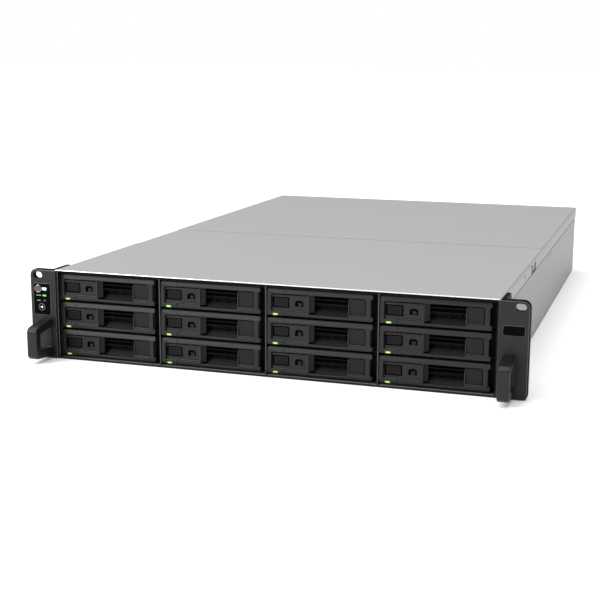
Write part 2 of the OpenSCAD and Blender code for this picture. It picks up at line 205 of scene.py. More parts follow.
def plate(
    loops: Sequence[np.ndarray],
    low: float,
    high: float,
    bevel: float = 0.0,
    plane: Plane = Plane.FRONT,
    steps: int = 2,
) -> Shell:
    """A flat plate with holes and round edges.

    Each outline is carried through the depth on a profile: a quarter circle in, the straight
    side, and a quarter circle out. The two faces are triangulated between the outlines.

    Args:
        loops: The outer outline, and then the holes'.
        low: Where the plate begins along its depth.
        high: Where the plate ends.
        bevel: Radius of the round edges.
        plane: The plane that the outlines are drawn in.
        steps: Segments in a round edge.

    Returns:
        The closed plate.
    """
    angle = np.linspace(0, np.pi / 2, steps + 1) if bevel > 0 else np.zeros(1)
    inset = bevel * (1 - np.sin(angle))
    depth = bevel * (1 - np.cos(angle))
    insets = np.concatenate([inset, inset[::-1]]) if bevel > 0 else np.zeros(2)
    depths = np.concatenate([low + depth, high - depth[::-1]]) if bevel > 0 else np.array([low, high])
    points: list[np.ndarray] = []
    faces: list[np.ndarray] = []
    first_row: list[np.ndarray] = []
    starts: list[int] = []
    count = 0
    for number, loop in enumerate(loops):
        area = np.sum(loop[:, 0] * np.roll(loop[:, 1], -1) - loop[:, 1] * np.roll(loop[:, 0], -1))
        if (area > 0) != (number == 0):
            loop = loop[::-1]
        rows = np.stack(
            [np.column_stack([offset_loop(loop, i), np.full(len(loop), d)]) for i, d in zip(insets, depths)]
        )
        faces.append(grid_faces(len(rows), len(loop), count))
        starts.append(count)
        first_row.append(rows[0])
        points.append(rows.reshape(-1, 3))
        count += rows.shape[0] * rows.shape[1]
    flat = [[Vector((x, y, 0)) for x, y, _ in row] for row in first_row]
    triangles = np.array(tessellate_polygon(flat), int)
    sizes = [len(row) for row in first_row]
    begin = np.concatenate(
        [np.full(s, a) - b for s, a, b in zip(sizes, starts, np.cumsum([0] + sizes[:-1]))]
    )
    front = triangles + begin[triangles]
    last = np.concatenate([np.full(s, s * (len(depths) - 1)) for s in sizes])
    faces += [front, (front + last[triangles])[:, ::-1]]
    local = np.vstack(points)
    placed = np.empty_like(local)
    placed[:, list(plane.value)] = local
    return Shell(placed, faces)


def block(low: Sequence[float], high: Sequence[float], radius: float = 0.3, steps: int = 2) -> Shell:
    """A box with round edges.

    A point is its corner's centre plus radius times the direction (cos e cos a, cos e sin a,
    sin e), where a and e run over the sphere with each quarter's ends doubled.

    Args:
        low: The lowest corner.
        high: The highest corner.
        radius: Radius of the edges.
        steps: Segments in a quarter circle.

    Returns:
        The closed box.
    """
    lo, hi = np.asarray(low, float), np.asarray(high, float)
    radius = min(radius, float((hi - lo).min()) / 2 - 1e-4)
    quarter = np.linspace(0, np.pi / 2, steps + 1)
    a = np.concatenate([quarter + k * np.pi / 2 for k in range(4)])
    e = np.concatenate([quarter - np.pi / 2, quarter])
    sign_x = np.repeat([1, -1, -1, 1], steps + 1)
    sign_y = np.repeat([1, 1, -1, -1], steps + 1)
    sign_z = np.repeat([-1, 1], steps + 1)
    ee, aa = np.meshgrid(e, a, indexing="ij")
    direction = np.stack([np.cos(ee) * np.cos(aa), np.cos(ee) * np.sin(aa), np.sin(ee)], axis=2)
    sign = np.stack(np.broadcast_arrays(sign_x[None, :], sign_y[None, :], sign_z[:, None]), axis=2)
    points = (lo + hi) / 2 + sign * ((hi - lo) / 2 - radius) + radius * direction
    n = len(a)
    corner = np.arange(4) * (steps + 1)
    caps = np.array([corner[::-1], corner + (len(e) - 1) * n])
    return Shell(points.reshape(-1, 3), [grid_faces(len(e), n), caps])


def lathe(
    profile: Sequence[Sequence[float]], centre: Sequence[float], axis: int = 1, sides: int = 24
) -> Shell:
    """A surface of revolution: a profile of (radius, height) pairs turned about an axis.

    Args:
        profile: Pairs from one end of the axis to the other; radius 0 closes an end.
        centre: The point that heights are counted from.
        axis: The axis of revolution, 0 to 2.
        sides: Points round the axis.

    Returns:
        The closed surface.
    """
    r, h = np.asarray(profile, float).T
    angle = np.linspace(0, 2 * np.pi, sides, endpoint=False)
    others = [k for k in range(3) if k != axis]
    points = np.empty((len(r), sides, 3))
    points[..., others[0]] = centre[others[0]] + r[:, None] * np.cos(angle)
    points[..., others[1]] = centre[others[1]] + r[:, None] * np.sin(angle)
    points[..., axis] = centre[axis] + h[:, None] * np.ones(sides)
    return Shell(points.reshape(-1, 3), [grid_faces(len(r), sides)])


def rod(
    centre: Sequence[float], radius: float, length: float, axis: int = 1, edge: float = 0.2, sides: int = 20
) -> Shell:
    """A round bar that runs from its centre point along an axis, with its two edges broken.

    Args:
        centre: Where the bar begins, on its axis.
        radius: The bar's radius.
        length: Its length.
        axis: The axis it lies along, 0 to 2.
        edge: How much of each edge is broken.
        sides: Points round the axis.

    Returns:
        The closed bar.
    """
    e = min(edge, radius / 2, length / 2.1)
    profile = [(0, 0), (radius - e, 0), (radius, e), (radius, length - e), (radius - e, length), (0, length)]
    return lathe(profile, centre, axis, sides)


def wire(path: Sequence[Sequence[float]], radius: float, sides: int = 10) -> Shell:
    """A round wire along a path: circles square to the path's tangent, closed by a point at each end.

    Args:
        path: Points along the middle of the wire.
        radius: The wire's radius.
        sides: Points round it.

    Returns:
        The closed wire.
    """
    p = np.asarray(path, float)
    tangent = np.gradient(p, axis=0)
    tangent /= np.linalg.norm(tangent, axis=1, keepdims=True)
    guide = np.where(np.abs(tangent[:, 2:3]) > 0.9, [[1.0, 0, 0]], [[0, 0, 1.0]])
    side = np.cross(tangent, guide)
    side /= np.linalg.norm(side, axis=1, keepdims=True)
    up = np.cross(side, tangent)
    angle = np.linspace(0, 2 * np.pi, sides, endpoint=False)
    ring = side[:, None, :] * np.cos(angle)[None, :, None] + up[:, None, :] * np.sin(angle)[None, :, None]
    body = p[:, None, :] + radius * ring
    ends = [np.repeat(p[:1], sides, axis=0)[None], body, np.repeat(p[-1:], sides, axis=0)[None]]
    points = np.concatenate(ends)
    return Shell(points.reshape(-1, 3), [grid_faces(len(points), sides)])


# ---------------------------------------------------------------- finishes


def linear(colour: str) -> tuple[float, float, float, float]:
    """A hex sRGB colour as linear red, green, blue and alpha.

    Args:
        colour: The colour, as a hash sign and six hex digits.

    Returns:
        Red, green, blue and alpha, from 0 to 1.
    """
    parts = np.array([int(colour[k : k + 2], 16) / 255 for k in (1, 3, 5)])
    light = np.where(parts <= 0.04045, parts / 12.92, ((parts + 0.055) / 1.055) ** 2.4)
    return (*[float(c) for c in light], 1.0)


def add_node(
    tree: bpy.types.NodeTree, kind: str, settings: Optional[dict] = None, links: Optional[dict] = None
) -> bpy.types.Node:
    """Adds a node with its settings and links.

    Args:
        tree: The material's node tree.
        kind: The node's type name.
        settings: Values by name: a lower-case name is the node's own property, any other is a socket.
        links: Output sockets by the name or number of the socket that each one feeds.

    Returns:
        The node.
    """
    made = tree.nodes.new(kind)
    for key, value in (settings or {}).items():
        if isinstance(key, str) and key[0].islower():
            setattr(made, key, value)
        else:
            made.inputs[key].default_value = value
    for key, source in (links or {}).items():
        tree.links.new(source, made.inputs[key])
    return made


@dataclass(frozen=True)
class Finish:
    """A surface: what it is made of, and how that was made.

    The base class is a plain dielectric with a colour that drifts a little and a fine grain.
    """

    name: str
    colour: str
    roughness: float = 0.5
    metallic: float = 0.0
    grain: float = 0.8
    relief: float = 0.02
    drift: float = 0.06
    drift_size: float = 60.0
    gloss_drift: float = 0.08
    coat: float = 0.0
    specular: float = 0.5

    def material(self) -> bpy.types.Material:
        """The finish's material, made once.

        Returns:
            The material, shared by all pieces with this finish.
        """
        known = bpy.data.materials.get(self.name)
        if known:
            return known
        made = bpy.data.materials.new(self.name)
        made.use_nodes = True
        tree = made.node_tree
        tree.nodes.clear()
        where = add_node(tree, "ShaderNodeTexCoord").outputs["Object"]
        shader = add_node(
            tree,
            "ShaderNodeBsdfPrincipled",
            {
                "Base Color": linear(self.colour),
                "Roughness": self.roughness,
                "Metallic": self.metallic,
                "Coat Weight": self.coat,
                "Coat Roughness": 0.05,
            },
        )
        if self.metallic == 0:
            shader.inputs["Specular IOR Level"].default_value = self.specular
        self.dress(tree, where, shader)
        add_node(tree, "ShaderNodeOutputMaterial", links={"Surface": shader.outputs[0]})
        return made

    def shades(self) -> tuple[tuple, tuple]:
        """The colour a little darker and a little lighter."""
        base = np.array(linear(self.colour)[:3])
        return (*(base * (1 - self.drift)), 1.0), (*np.minimum(base * (1 + self.drift), 1.0), 1.0)

    def dress(self, tree: bpy.types.NodeTree, where: bpy.types.NodeSocket, shader: bpy.types.Node) -> None:
        """Adds slow drifts of colour and gloss, and the grain's bump.

        Args:
            tree: The material's nodes.
            where: The object's coordinates.
            shader: The surface's shader.
        """
        slow = add_node(
            tree,
            "ShaderNodeTexNoise",
            {"Scale": PER_METRE / self.drift_size, "Detail": 3.0, "Roughness": 0.6},
            {"Vector": where},
        ).outputs["Fac"]
        self.tint(tree, shader, slow, *self.shades())
        self.shine(tree, shader, slow, self.gloss_drift / 2)
        fine = add_node(
            tree, "ShaderNodeTexNoise", {"Scale": PER_METRE / self.grain, "Detail": 2.0}, {"Vector": where}
        )
        self.emboss(tree, shader, fine.outputs["Fac"], 0.6)

    def tint(
        self, tree: bpy.types.NodeTree, shader: bpy.types.Node, level: bpy.types.NodeSocket, dark: tuple,
        light: tuple,
    ) -> None:
        """Drives the colour from the darker shade to the lighter one by a level."""
        tone = add_node(tree, "ShaderNodeMix", {"data_type": "RGBA", 6: dark, 7: light}, {0: level})
        tree.links.new(tone.outputs[2], shader.inputs["Base Color"])

    def shine(
        self, tree: bpy.types.NodeTree, shader: bpy.types.Node, level: bpy.types.NodeSocket, span: float
    ) -> None:
        """Drives the roughness by a level, a span to each side of the finish's own.

        Args:
            tree: The material's nodes.
            shader: The surface's shader.
            level: What drives it, from 0 to 1.
            span: How far the roughness goes to each side.
        """
        ends = {"To Min": self.roughness - span, "To Max": self.roughness + span}
        gloss = add_node(tree, "ShaderNodeMapRange", ends, {"Value": level})
        tree.links.new(gloss.outputs[0], shader.inputs["Roughness"])

    def emboss(
        self, tree: bpy.types.NodeTree, shader: bpy.types.Node, height: bpy.types.NodeSocket, strength: float
    ) -> None:
        """Drives the bump by a height, as deep as the finish's relief."""
        depth = {"Strength": strength, "Distance": self.relief * MM}
        tree.links.new(
            add_node(tree, "ShaderNodeBump", depth, {"Height": height}).outputs[0], shader.inputs["Normal"]
        )


@dataclass(frozen=True)
class SparkGrain(Finish):
    """Moulded ABS from a spark-eroded tool: close round pits that scatter the light evenly."""

    def dress(self, tree: bpy.types.NodeTree, where: bpy.types.NodeSocket, shader: bpy.types.Node) -> None:
        """Adds the pits as a bump over the slow drifts.

        Args:
            tree: The material's nodes.
            where: The object's coordinates.
            shader: The surface's shader.
        """
        super().dress(tree, where, shader)
        pits = add_node(
            tree, "ShaderNodeTexVoronoi", {"Scale": PER_METRE / self.grain, "Randomness": 1.0},
            {"Vector": where},
        )
        self.emboss(tree, shader, pits.outputs["Distance"], 0.5)


@dataclass(frozen=True)
class Rolled(Finish):
    """Rolled or brushed metal: long fine streaks along one axis."""

    along: int = 0
    streak: float = 40.0

    def dress(self, tree: bpy.types.NodeTree, where: bpy.types.NodeSocket, shader: bpy.types.Node) -> None:
        """Adds streaks: noise stretched along one axis drives the gloss, the tone and the bump.

        Args:
            tree: The material's nodes.
            where: The object's coordinates.
            shader: The surface's shader.
        """
        scale = [PER_METRE / self.grain] * 3
        scale[self.along] = PER_METRE / (self.grain * self.streak)
        turned = add_node(tree, "ShaderNodeMapping", {"Scale": scale}, {"Vector": where})
        streaks = add_node(
            tree, "ShaderNodeTexNoise", {"Scale": 1.0, "Detail": 3.0}, {"Vector": turned.outputs[0]}
        )
        level = streaks.outputs["Fac"]
        self.tint(tree, shader, level, *self.shades())
        self.shine(tree, shader, level, self.gloss_drift)
        self.emboss(tree, shader, level, 0.4)


@dataclass(frozen=True)
class Spangled(Finish):
    """Hot-dip zinc: crystals of zinc that differ a little in tone and gloss."""

    spangle: float = 9.0

    def dress(self, tree: bpy.types.NodeTree, where: bpy.types.NodeSocket, shader: bpy.types.Node) -> None:
        """Adds the crystals as Voronoi cells.

        Args:
            tree: The material's nodes.
            where: The object's coordinates.
            shader: The surface's shader.
        """
        cells = add_node(
            tree, "ShaderNodeTexVoronoi", {"Scale": PER_METRE / self.spangle}, {"Vector": where}
        )
        level = add_node(tree, "ShaderNodeSeparateColor", links={0: cells.outputs["Color"]}).outputs[0]
        self.tint(tree, shader, level, *self.shades())
        self.shine(tree, shader, level, self.gloss_drift)


@dataclass(frozen=True)
class SolderMask(Finish):
    """A circuit board: green mask over copper tracks, which show through a little lighter."""

    track: float = 5.0

    def dress(self, tree: bpy.types.NodeTree, where: bpy.types.NodeSocket, shader: bpy.types.Node) -> None:
        """Adds tracks: a brick pattern's joints, broken up by noise.

        Args:
            tree: The material's nodes.
            where: The object's coordinates.
            shader: The surface's shader.
        """
        bent = add_node(tree, "ShaderNodeTexNoise", {"Scale": 90.0, "Detail": 1.0}, {"Vector": where})
        tracks = add_node(
            tree,
            "ShaderNodeTexBrick",
            {
                "offset": 0.37,
                "squash": 0.6,
                "Color1": (0.0, 0.0, 0.0, 1.0),
                "Color2": (0.12, 0.12, 0.12, 1.0),
                "Mortar": (1.0, 1.0, 1.0, 1.0),
                "Scale": PER_METRE / self.track,
                "Mortar Size": 0.05,
                "Brick Width": 2.6,
                "Row Height": 0.5,
            },
            {"Vector": where},
        )
        level = add_node(
            tree, "ShaderNodeMath", {"operation": "MULTIPLY"},
            {0: tracks.outputs["Color"], 1: bent.outputs["Fac"]},
        )
        dark, _ = self.shades()
        light = tuple(min(1.0, c * 2.6) for c in dark[:3]) + (1.0,)
        self.tint(tree, shader, level.outputs[0], dark, light)


@dataclass(frozen=True)
class Lamp(Finish):
    """A light pipe or lamp that glows in its own colour."""

    power: float = 3.0

    def dress(self, tree: bpy.types.NodeTree, where: bpy.types.NodeSocket, shader: bpy.types.Node) -> None:
        """Sets the glow, in the lens's own colour and at its own power."""
        super().dress(tree, where, shader)
        shader.inputs["Emission Color"].default_value = linear(self.colour)
        shader.inputs["Emission Strength"].default_value = self.power


# Powder coat on sheet steel: fine orange peel, an even satin sheen
COVER_PAINT = Finish(
    "cover_powder_coat", "#a5a5a6", 0.5, grain=1.6, relief=0.012, drift=0.012, drift_size=180,
    gloss_drift=0.05,
)
BASE_PAINT = Finish(
    "base_powder_coat", "#898a8a", 0.44, grain=1.6, relief=0.012, drift=0.015, drift_size=180,
    gloss_drift=0.05,
)
# Hot-dip zinc on the inner sheets
ZINC = Spangled("hot_dip_zinc", "#b9bcc0", 0.38, 1.0, drift=0.12, gloss_drift=0.06)
# The front cover's front edge as near-white bright metal: a painted highlight along the bend
HIGHLIGHT_EDGE = Rolled(
    "painted_highlight_edge", "#ededec", 0.22, 1.0, grain=0.4, relief=0.003, drift=0.03, gloss_drift=0.04
)
# The base's front lip, near black: painted shade at the foot of the trays
SHADE_LIP_STEEL = Finish("painted_shade_lip_steel", "#161617", 0.45, relief=0.01, specular=0.25)
# Zinc-flake coated steel of the drive cage, dull; its dark colour is painted shade on the cage behind the
# trays
SHADED_CAGE_STEEL = Spangled("cage_zinc_painted_shade", "#4a4c4e", 0.5, 0.8, drift=0.1, gloss_drift=0.06)
# Cold-rolled, nickel-plated steel: screws, jack shells
NICKEL = Rolled(
    "rolled_nickel_plate", "#c6c4be", 0.24, 1.0, grain=0.5, relief=0.004, drift=0.05, gloss_drift=0.04
)
# ABS from spark-eroded tools: trays, ears
EAR_ABS = SparkGrain("ear_abs", "#171718", 0.38, grain=0.9, relief=0.015, drift=0.08, specular=0.3)
TRAY_ABS = SparkGrain("tray_abs", "#1e1e1f", 0.46, grain=0.9, relief=0.02, drift=0.08, specular=0.26)
LEVER_ABS = SparkGrain("lever_abs", "#1c1c1d", 0.44, grain=0.9, relief=0.02, drift=0.08, specular=0.26)
BUTTON_ABS = SparkGrain("button_abs", "#0c0c0d", 0.42, grain=0.9, relief=0.015, drift=0.05, specular=0.14)
# The pull plates, moulded with a deeper spark grain; their darker colour is painted shade on the sunk plates
SHADED_PULL_ABS = SparkGrain("pull_abs_painted_shade", "#151516", 0.46, grain=1.2, relief=0.03, drift=0.08, specular=0.2)
# Lighter lips along the plates' edges: a painted highlight where the edges catch the light
HIGHLIGHT_BEAD_ABS = Finish("painted_highlight_abs_edge", "#3a3a3b", 0.3, relief=0.0, drift=0.05, specular=0.4)
# Near-black plastic: painted shade in hollows, holes and gaps, and on edges turned away from the light
SHADE_ABS = SparkGrain("painted_shade_abs", "#0b0b0c", 0.6, grain=0.9, relief=0.02, specular=0.1)
LATCH_ABS = SparkGrain("latch_abs", "#151516", 0.45, grain=0.9, relief=0.02)
# Polished acrylic over black print: deep, mirror-like
GLOSS_BLACK = Finish(
    "polished_black_acrylic", "#020202", 0.1, relief=0.0, drift=0.02, gloss_drift=0.05, specular=0.03
)
# Grey rim that the acrylic sits in, and the ring about each ear's face: a painted highlight on their round
# edges
HIGHLIGHT_RIM = Finish("painted_highlight_rim", "#474748", 0.2, relief=0.0, drift=0.03, specular=0.6)
# Printed legends under the acrylic
LEGEND = Finish("printed_legend", "#8e9092", 0.35, relief=0.0, drift=0.03)
# The power key: translucent red-brown cap inside a satin chrome ring
POWER_CAP = Finish("power_cap", "#5a2320", 0.28, relief=0.004, drift=0.1, drift_size=4, coat=0.4)
CHROME_RING = Rolled("satin_chrome", "#77787a", 0.35, 1.0, grain=0.4, relief=0.003, drift=0.03)
# White and grey print on the keys
WHITE_PRINT = Finish("white_print", "#f2f2f2", 0.4, relief=0.0, drift=0.02)
GREY_RING = Finish("grey_printed_ring", "#4b4c4e", 0.35, relief=0.0, drift=0.03, specular=0.2)
LED_GREEN = Lamp("green_lamp", "#b9d98a", 0.4, relief=0.0, drift=0.0, power=0.45, specular=0.2)
LED_RIM = Lamp("green_lamp_rim", "#4f7a1c", 0.4, relief=0.0, drift=0.0, power=0.3, specular=0.2)
LED_BLUE = Lamp("blue_white_lamp", "#a5c6ea", 0.3, relief=0.0, drift=0.0, power=0.7, specular=0.2)
LED_STATUS = Lamp("status_green_lamp", "#55c257", 0.3, relief=0.0, drift=0.0, power=0.9, specular=0.2)
LED_OFF = Finish("dark_lamp", "#3a2f29", 0.25, relief=0.0)
# Circuit boards and what sits on them
BOARD = SolderMask("green_solder_mask", "#0f4a2e", 0.35, drift=0.15)
EPOXY = Finish("chip_epoxy", "#141415", 0.5, relief=0.01)
SOCKET = Finish("socket_nylon", "#1d1d20", 0.45, relief=0.01)
SOCKET_BLUE = Finish("socket_nylon_blue", "#1d3f7a", 0.45, relief=0.01)
IVORY = Finish("connector_nylon", "#d8d2c0", 0.5, relief=0.01)
GOLD = Rolled("gold_plate", "#d9b25a", 0.22, 1.0, grain=0.3, relief=0.003)
FINS = Rolled("milled_aluminium", "#c3c5c8", 0.3, 1.0, grain=0.35, relief=0.006, drift=0.06, along=2)
CASTING = Finish("cast_aluminium", "#a9abad", 0.46, 1.0, grain=1.1, relief=0.03, drift=0.08, drift_size=20)
LABEL = Finish("paper_label", "#cfcec9", 0.6, relief=0.006, drift=0.015)
CAPACITOR = Finish("capacitor_sleeve", "#23306b", 0.35, relief=0.0)
RELEASE_RED = SparkGrain("release_red", "#7a1620", 0.4, grain=0.9, relief=0.015)
SUPPLY_STEEL = Rolled(
    "rolled_zinc_steel", "#b5b7b9", 0.34, 1.0, grain=0.7, relief=0.008, drift=0.06, along=1
)
FAN_BLADES = SparkGrain("fan_blade_pbt", "#2a2b2f", 0.4, grain=0.9, relief=0.015)
FAN_PBT = SparkGrain("fan_pbt", "#17171a", 0.42, grain=0.9, relief=0.015)


# ---------------------------------------------------------------- pieces


def set_piece(
    name: str,
    shell: Shell,
    finish: Finish,
    body: str,
    replaces: Sequence[str] = (),
    origin: Sequence[float] = (0.0, 0.0, 0.0),
    angle: float = 35.0,
) -> bpy.types.Object:
    """Makes a piece from a shell and hangs it on its body.

    Args:
        name: The piece's name.
        shell: Its surfaces, in millimetres from the origin given.
        finish: Its finish.
        body: The body that it moves with.
        replaces: The frame's nodes that it stands for.
        origin: Where the shell's own origin lies, in millimetres.
        angle: Edges sharper than this many degrees stay sharp.

    Returns:
        The piece's object.
    """
    mesh = bpy.data.meshes.new(name)
    points = (shell.points + np.asarray(origin, float)) * MM
    mesh.from_pydata(points.tolist(), [], [face for part in shell.faces for face in part.tolist()])
    work = bmesh.new()
    work.from_mesh(mesh)
    bmesh.ops.remove_doubles(work, verts=work.verts, dist=WELD)
    bmesh.ops.dissolve_degenerate(work, edges=work.edges, dist=SLIVER)
    bmesh.ops.recalc_face_normals(work, faces=work.faces)
    work.to_mesh(mesh)
    work.free()
    mesh.shade_smooth()
    mesh.set_sharp_from_angle(angle=math.radians(angle))
    mesh.materials.append(finish.material())
    piece = bpy.data.objects.new(name, mesh)
    bpy.context.scene.collection.objects.link(piece)
    even = piece.modifiers.new("even_normals", "WEIGHTED_NORMAL")
    even.keep_sharp = True
    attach(piece, body)
    if replaces:
        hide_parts(*replaces)
    LOG.info("%s: %d faces on %s", name, len(mesh.polygons), body)
    return piece


def dress_node(name: str, finish: Finish) -> None:
    """Gives one of the frame's own nodes its finish.

    Args:
        name: The node's name.
        finish: The finish it gets.
    """
    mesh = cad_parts[name].data
    mesh.materials.clear()
    mesh.materials.append(finish.material())
    LOG.info("%s: dressed as %s", name, finish.name)


def node_box(name: str) -> tuple[np.ndarray, np.ndarray]:
    """A node's lowest and highest corners, in millimetres."""
    low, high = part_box(name)
    return np.array(low) / MM, np.array(high) / MM


# ---------------------------------------------------------------- trays


@dataclass
class DriveTray:
    """One kind of drive tray with its drive, lamp, pull lever and release button.

    The shells are worked out once, from the bay's lower front left corner, and each bay takes a
    copy moved to its place.
    """

    left: float = 0.6
    seam: float = 17.35
    lever_start: float = 17.7
    right: float = 101.4
    post: float = 99.4
    foot: float = 0.45
    height: float = 25.75
    recess_low: float = 5.1
    recess_high: float = 20.9
    plate_right: float = 40.1
    ridge: float = 40.5
    vent_right: float = 77.9
    pull: float = 78.2
    sill: float = 3.3
    rail: float = 4.2
    wall: float = 10.2
    pin: tuple[float, float] = (97.3, 7.0)
    rail_end: float = 158.0
    drive_low: tuple[float, float, float] = (2.45, 12.6, 0.05)
    drive_high: tuple[float, float, float] = (104.05, 159.6, 26.15)
    lean_top: float = 0.46
    lean_low: float = 0.1
    sunk: float = 1.9

    def bezel(self) -> Shell:
        """The fixed end of the front: a bracket-shaped face round a sunk lock plate.

        Returns:
            The face, the lock plate and the returns behind them.
        """
        low, high = self.recess_low + 0.2, self.recess_high - 0.2
        outline = rounded(
            [
                (self.left, self.foot),
                (self.seam, self.foot),
                (self.seam, low),
                (5.2, low),
                (5.2, high),
                (self.seam, high),
                (self.seam, self.height),
                (self.left, self.height),
            ],
            [2.2, 0.2, 0.2, 1.2, 1.2, 0.2, 0.2, 2.2],
        )
        face = plate([outline], 0.0, 4.0, 1.0, steps=3).shaped(self.close_seam).shaped(self.pillow)
        lock_plate = plate(
            [rectangle(5.6, low - 0.3, self.plate_right, high - 0.8, 0.4), *self.openings()],
            self.sunk,
            self.sunk + 1.4,
            0.3,
        )
        returns = joined(
            [
                block((self.left, 2.2, 0.3), (2.6, 10.6, self.height - 0.3)),
                block((self.left, 2.2, self.height - 1.6), (self.plate_right, 10.6, self.height - 0.35)),
                block((self.left, 2.2, 0.35), (self.plate_right, 10.6, 1.6)),
            ]
        )
        return joined([face, lock_plate, returns])

    def openings(self, margin: float = 0.0) -> list[np.ndarray]:
        """The button's opening and the lock's arch, grown by a margin.

        Args:
            margin: How far the outlines grow.

        Returns:
            The button's outline and the arch's.
        """
        m = margin
        arch = [(27.7 - m, 9.7 - m), (35.5 + m, 9.7 - m), (35.5 + m, 15.4 + m), (27.7 - m, 15.4 + m)]
        return [rectangle(6.0 - m, 8.0 - m, 22.1 + m, 17.8 + m, 0.9), rounded(arch, [0.5, 0.5, 2.4, 2.4])]

    def pillow(self, points: np.ndarray) -> np.ndarray:
        """Leans the top rail back above the recess and the bottom rail back below it.

        Args:
            points: The shell's points.

        Returns:
            The points, moved back by their height beyond the recess times the lean.
        """
        front = np.clip(1 - points[:, 1] / 3.0, 0, 1)
        top = np.clip(points[:, 2] - self.recess_high - 0.9, 0, None)
        low = np.clip(self.recess_low - 0.9 - points[:, 2], 0, None)
        points[:, 1] += (self.lean_top * top + self.lean_low * low) * front
        return points

    def close_seam(self, points: np.ndarray) -> np.ndarray:
        """Draws the round edges on both sides of the seam together to a tenth of their width.

        Args:
            points: The shell's points.

        Returns:
            The points, with those near the seam drawn in.
        """
        away = points[:, 0] - self.seam - 0.15
        near = (np.abs(away) < 1.2) & (points[:, 1] < 3.2)
        points[:, 0] = np.where(
            near, self.seam + 0.15 + np.sign(away) * (0.12 + 0.1 * (np.abs(away) - 0.15)), points[:, 0]
        )
        return points

    def slope(self, points: np.ndarray) -> np.ndarray:
        """Leans a sunk face so that its foot lies further in.

        Args:
            points: The shell's points.

        Returns:
            The points, moved back by 0.06 of their distance below the recess's top.
        """
        front = np.clip(3.2 - points[:, 1], 0, 1)
        points[:, 1] += 0.06 * (self.recess_high - points[:, 2]) * front
        return points

    def wells(self) -> Shell:
        """The inside behind the lock plate, dark with painted shade: a pierced backing and the two openings'
        walls.

        Returns:
            The backing, the walls of both openings and the floor behind the arch.
        """
        backing = plate(
            [rectangle(4.3, 4.4, 40.2, 21.6, 0.5), *self.openings()], self.sunk + 1.2, self.sunk + 2.0
        )
        button, arch = self.openings()
        outer = self.openings(0.5)
        walls = plate([outer[0], button], self.sunk + 1.0, 9.6)
        walls += plate([outer[1], arch], self.sunk + 1.0, 6.0)
        return joined([backing, walls, block((27.1, 5.2, 9.1), (36.1, 6.4, 16.0))])

    def tumbler(self) -> Shell:
        """The lock's turning block, with its driver slot across."""
        return joined(
            [
                block((30.2, 2.3, 9.8), (34.0, 5.0, 11.0), 0.35),
                block((30.2, 2.3, 11.5), (34.0, 5.0, 12.9), 0.35),
                block((30.5, 3.1, 10.0), (33.7, 5.0, 12.6), 0.2),
            ]
        )

    def grille(self) -> Shell:
        """The air inlet's inside: the pierced wall, the dust screen behind it and two louvres.

        Returns:
            The louvres, the screen and the wall.
        """
        x0, x1 = self.ridge + 1.3, self.vent_right
        louvre = rounded([(4.7, 0), (10.7, 0.55), (10.7, 1.55), (4.7, 1.0)], 0.3, 2)
        blades = joined([plate([louvre + [0, z]], x0, x1, 0.0, Plane.SIDE) for z in (12.6, 16.8)])
        screen = block((41.0, self.wall + 1.3, 5.0), (95.0, self.wall + 2.2, 23.0), 0.2)
        slots = [rectangle(44 + n * 9.6, 8.0, 51 + n * 9.6, 21.0, 1.4) for n in range(5)]
        wall = plate([rectangle(0.8, 0.6, 105.7, 25.6, 0.6), *slots], self.wall, self.wall + 2, 0.3)
        return joined([blades, screen, wall])

    def carrier(self) -> tuple[Shell, Shell]:
        """The carrier: its pierced wall, side rails, the air inlet's sloping floor, and the hinge boss.

        Returns:
            The rails with the boss; the inlet's floor with the bar above it.
        """
        outline = rounded(
            [(self.wall + 1, 2.95), (self.rail_end, 2.95), (self.rail_end, 23), (self.wall + 1, 23)],
            [1, 5, 5, 1],
        )
        windows = [rectangle(y, 8.5, y + 26, 17.5, 2.0) for y in (22.0, 63.0, 104.0)]
        screws = [circle(y, 7.0, 1.6, 16) for y in (56.0, 97.0, 138.0)]
        rail = plate([outline, *windows, *screws], 0.8, 2.2, 0.3, Plane.SIDE)
        ramp = rounded([(4.7, 0.4), (10.1, 0.4), (10.1, 8.8), (4.7, 2.6)], 0.3, 2)
        floor = plate([ramp], self.ridge, self.vent_right, 0.2, Plane.SIDE)
        bar = block((17.6, 4.8, 24.3), (92.0, 10.1, 25.6))
        boss_hole = circle(*self.pin, 1.05, 20)
        boss = plate([rectangle(95.3, 5.0, 99.3, 10.8, 0.8), boss_hole], 6.5, 19.5, 0.2, Plane.FLAT)
        return joined([rail, rail.moved(x=103.5), boss]), floor + bar

    def drive(self) -> Shell:
        """The drive's cast body, with a rib round its rim and a recess for the lid.

        Returns:
            The body and its rim.
        """
        x0, y0, z0 = self.drive_low
        x1, y1, z1 = self.drive_high
        body = plate([rectangle(x0, y0, x1, y1, 2.0)], z0, z1 - 2.6, 0.5, Plane.FLAT)
        rim = plate(
            [
                rectangle(x0 + 0.6, y0 + 0.6, x1 - 0.6, y1 - 0.6, 3),
                rectangle(x0 + 4, y0 + 5, x1 - 4, y1 - 9, 9),
            ],
            z1 - 2.8, z1 - 0.4, 0.4, Plane.FLAT,
        )
        return body + rim

    def lid(self) -> Shell:
        """The drive's pressed lid, with its raised hub and its six screws.

        Returns:
            The lid and its screws.
        """
        x0, y0, _ = self.drive_low
        x1, y1, z1 = self.drive_high
        lid = plate(
            [rectangle(x0 + 4.3, y0 + 5.3, x1 - 4.3, y1 - 9.3, 9)], z1 - 2.7, z1 - 0.9, 0.4, Plane.FLAT
        )
        places = [
            (x0 + 8, y0 + 9), (x1 - 8, y0 + 9), (x0 + 7, 84), (x1 - 7, 84), (x0 + 8, y1 - 14),
            (x1 - 8, y1 - 14),
        ]
        return joined([lid] + [rod((x, y, z1 - 1.0), 2.1, 0.7, 2, 0.2, 12) for x, y in places])

    def label(self) -> Shell:
        """The drive's blank label."""
        return plate(
            [rectangle(18, 42, 88, 128, 3)], self.drive_high[2] - 1.0, self.drive_high[2] - 0.78, 0.0,
            Plane.FLAT,
        )

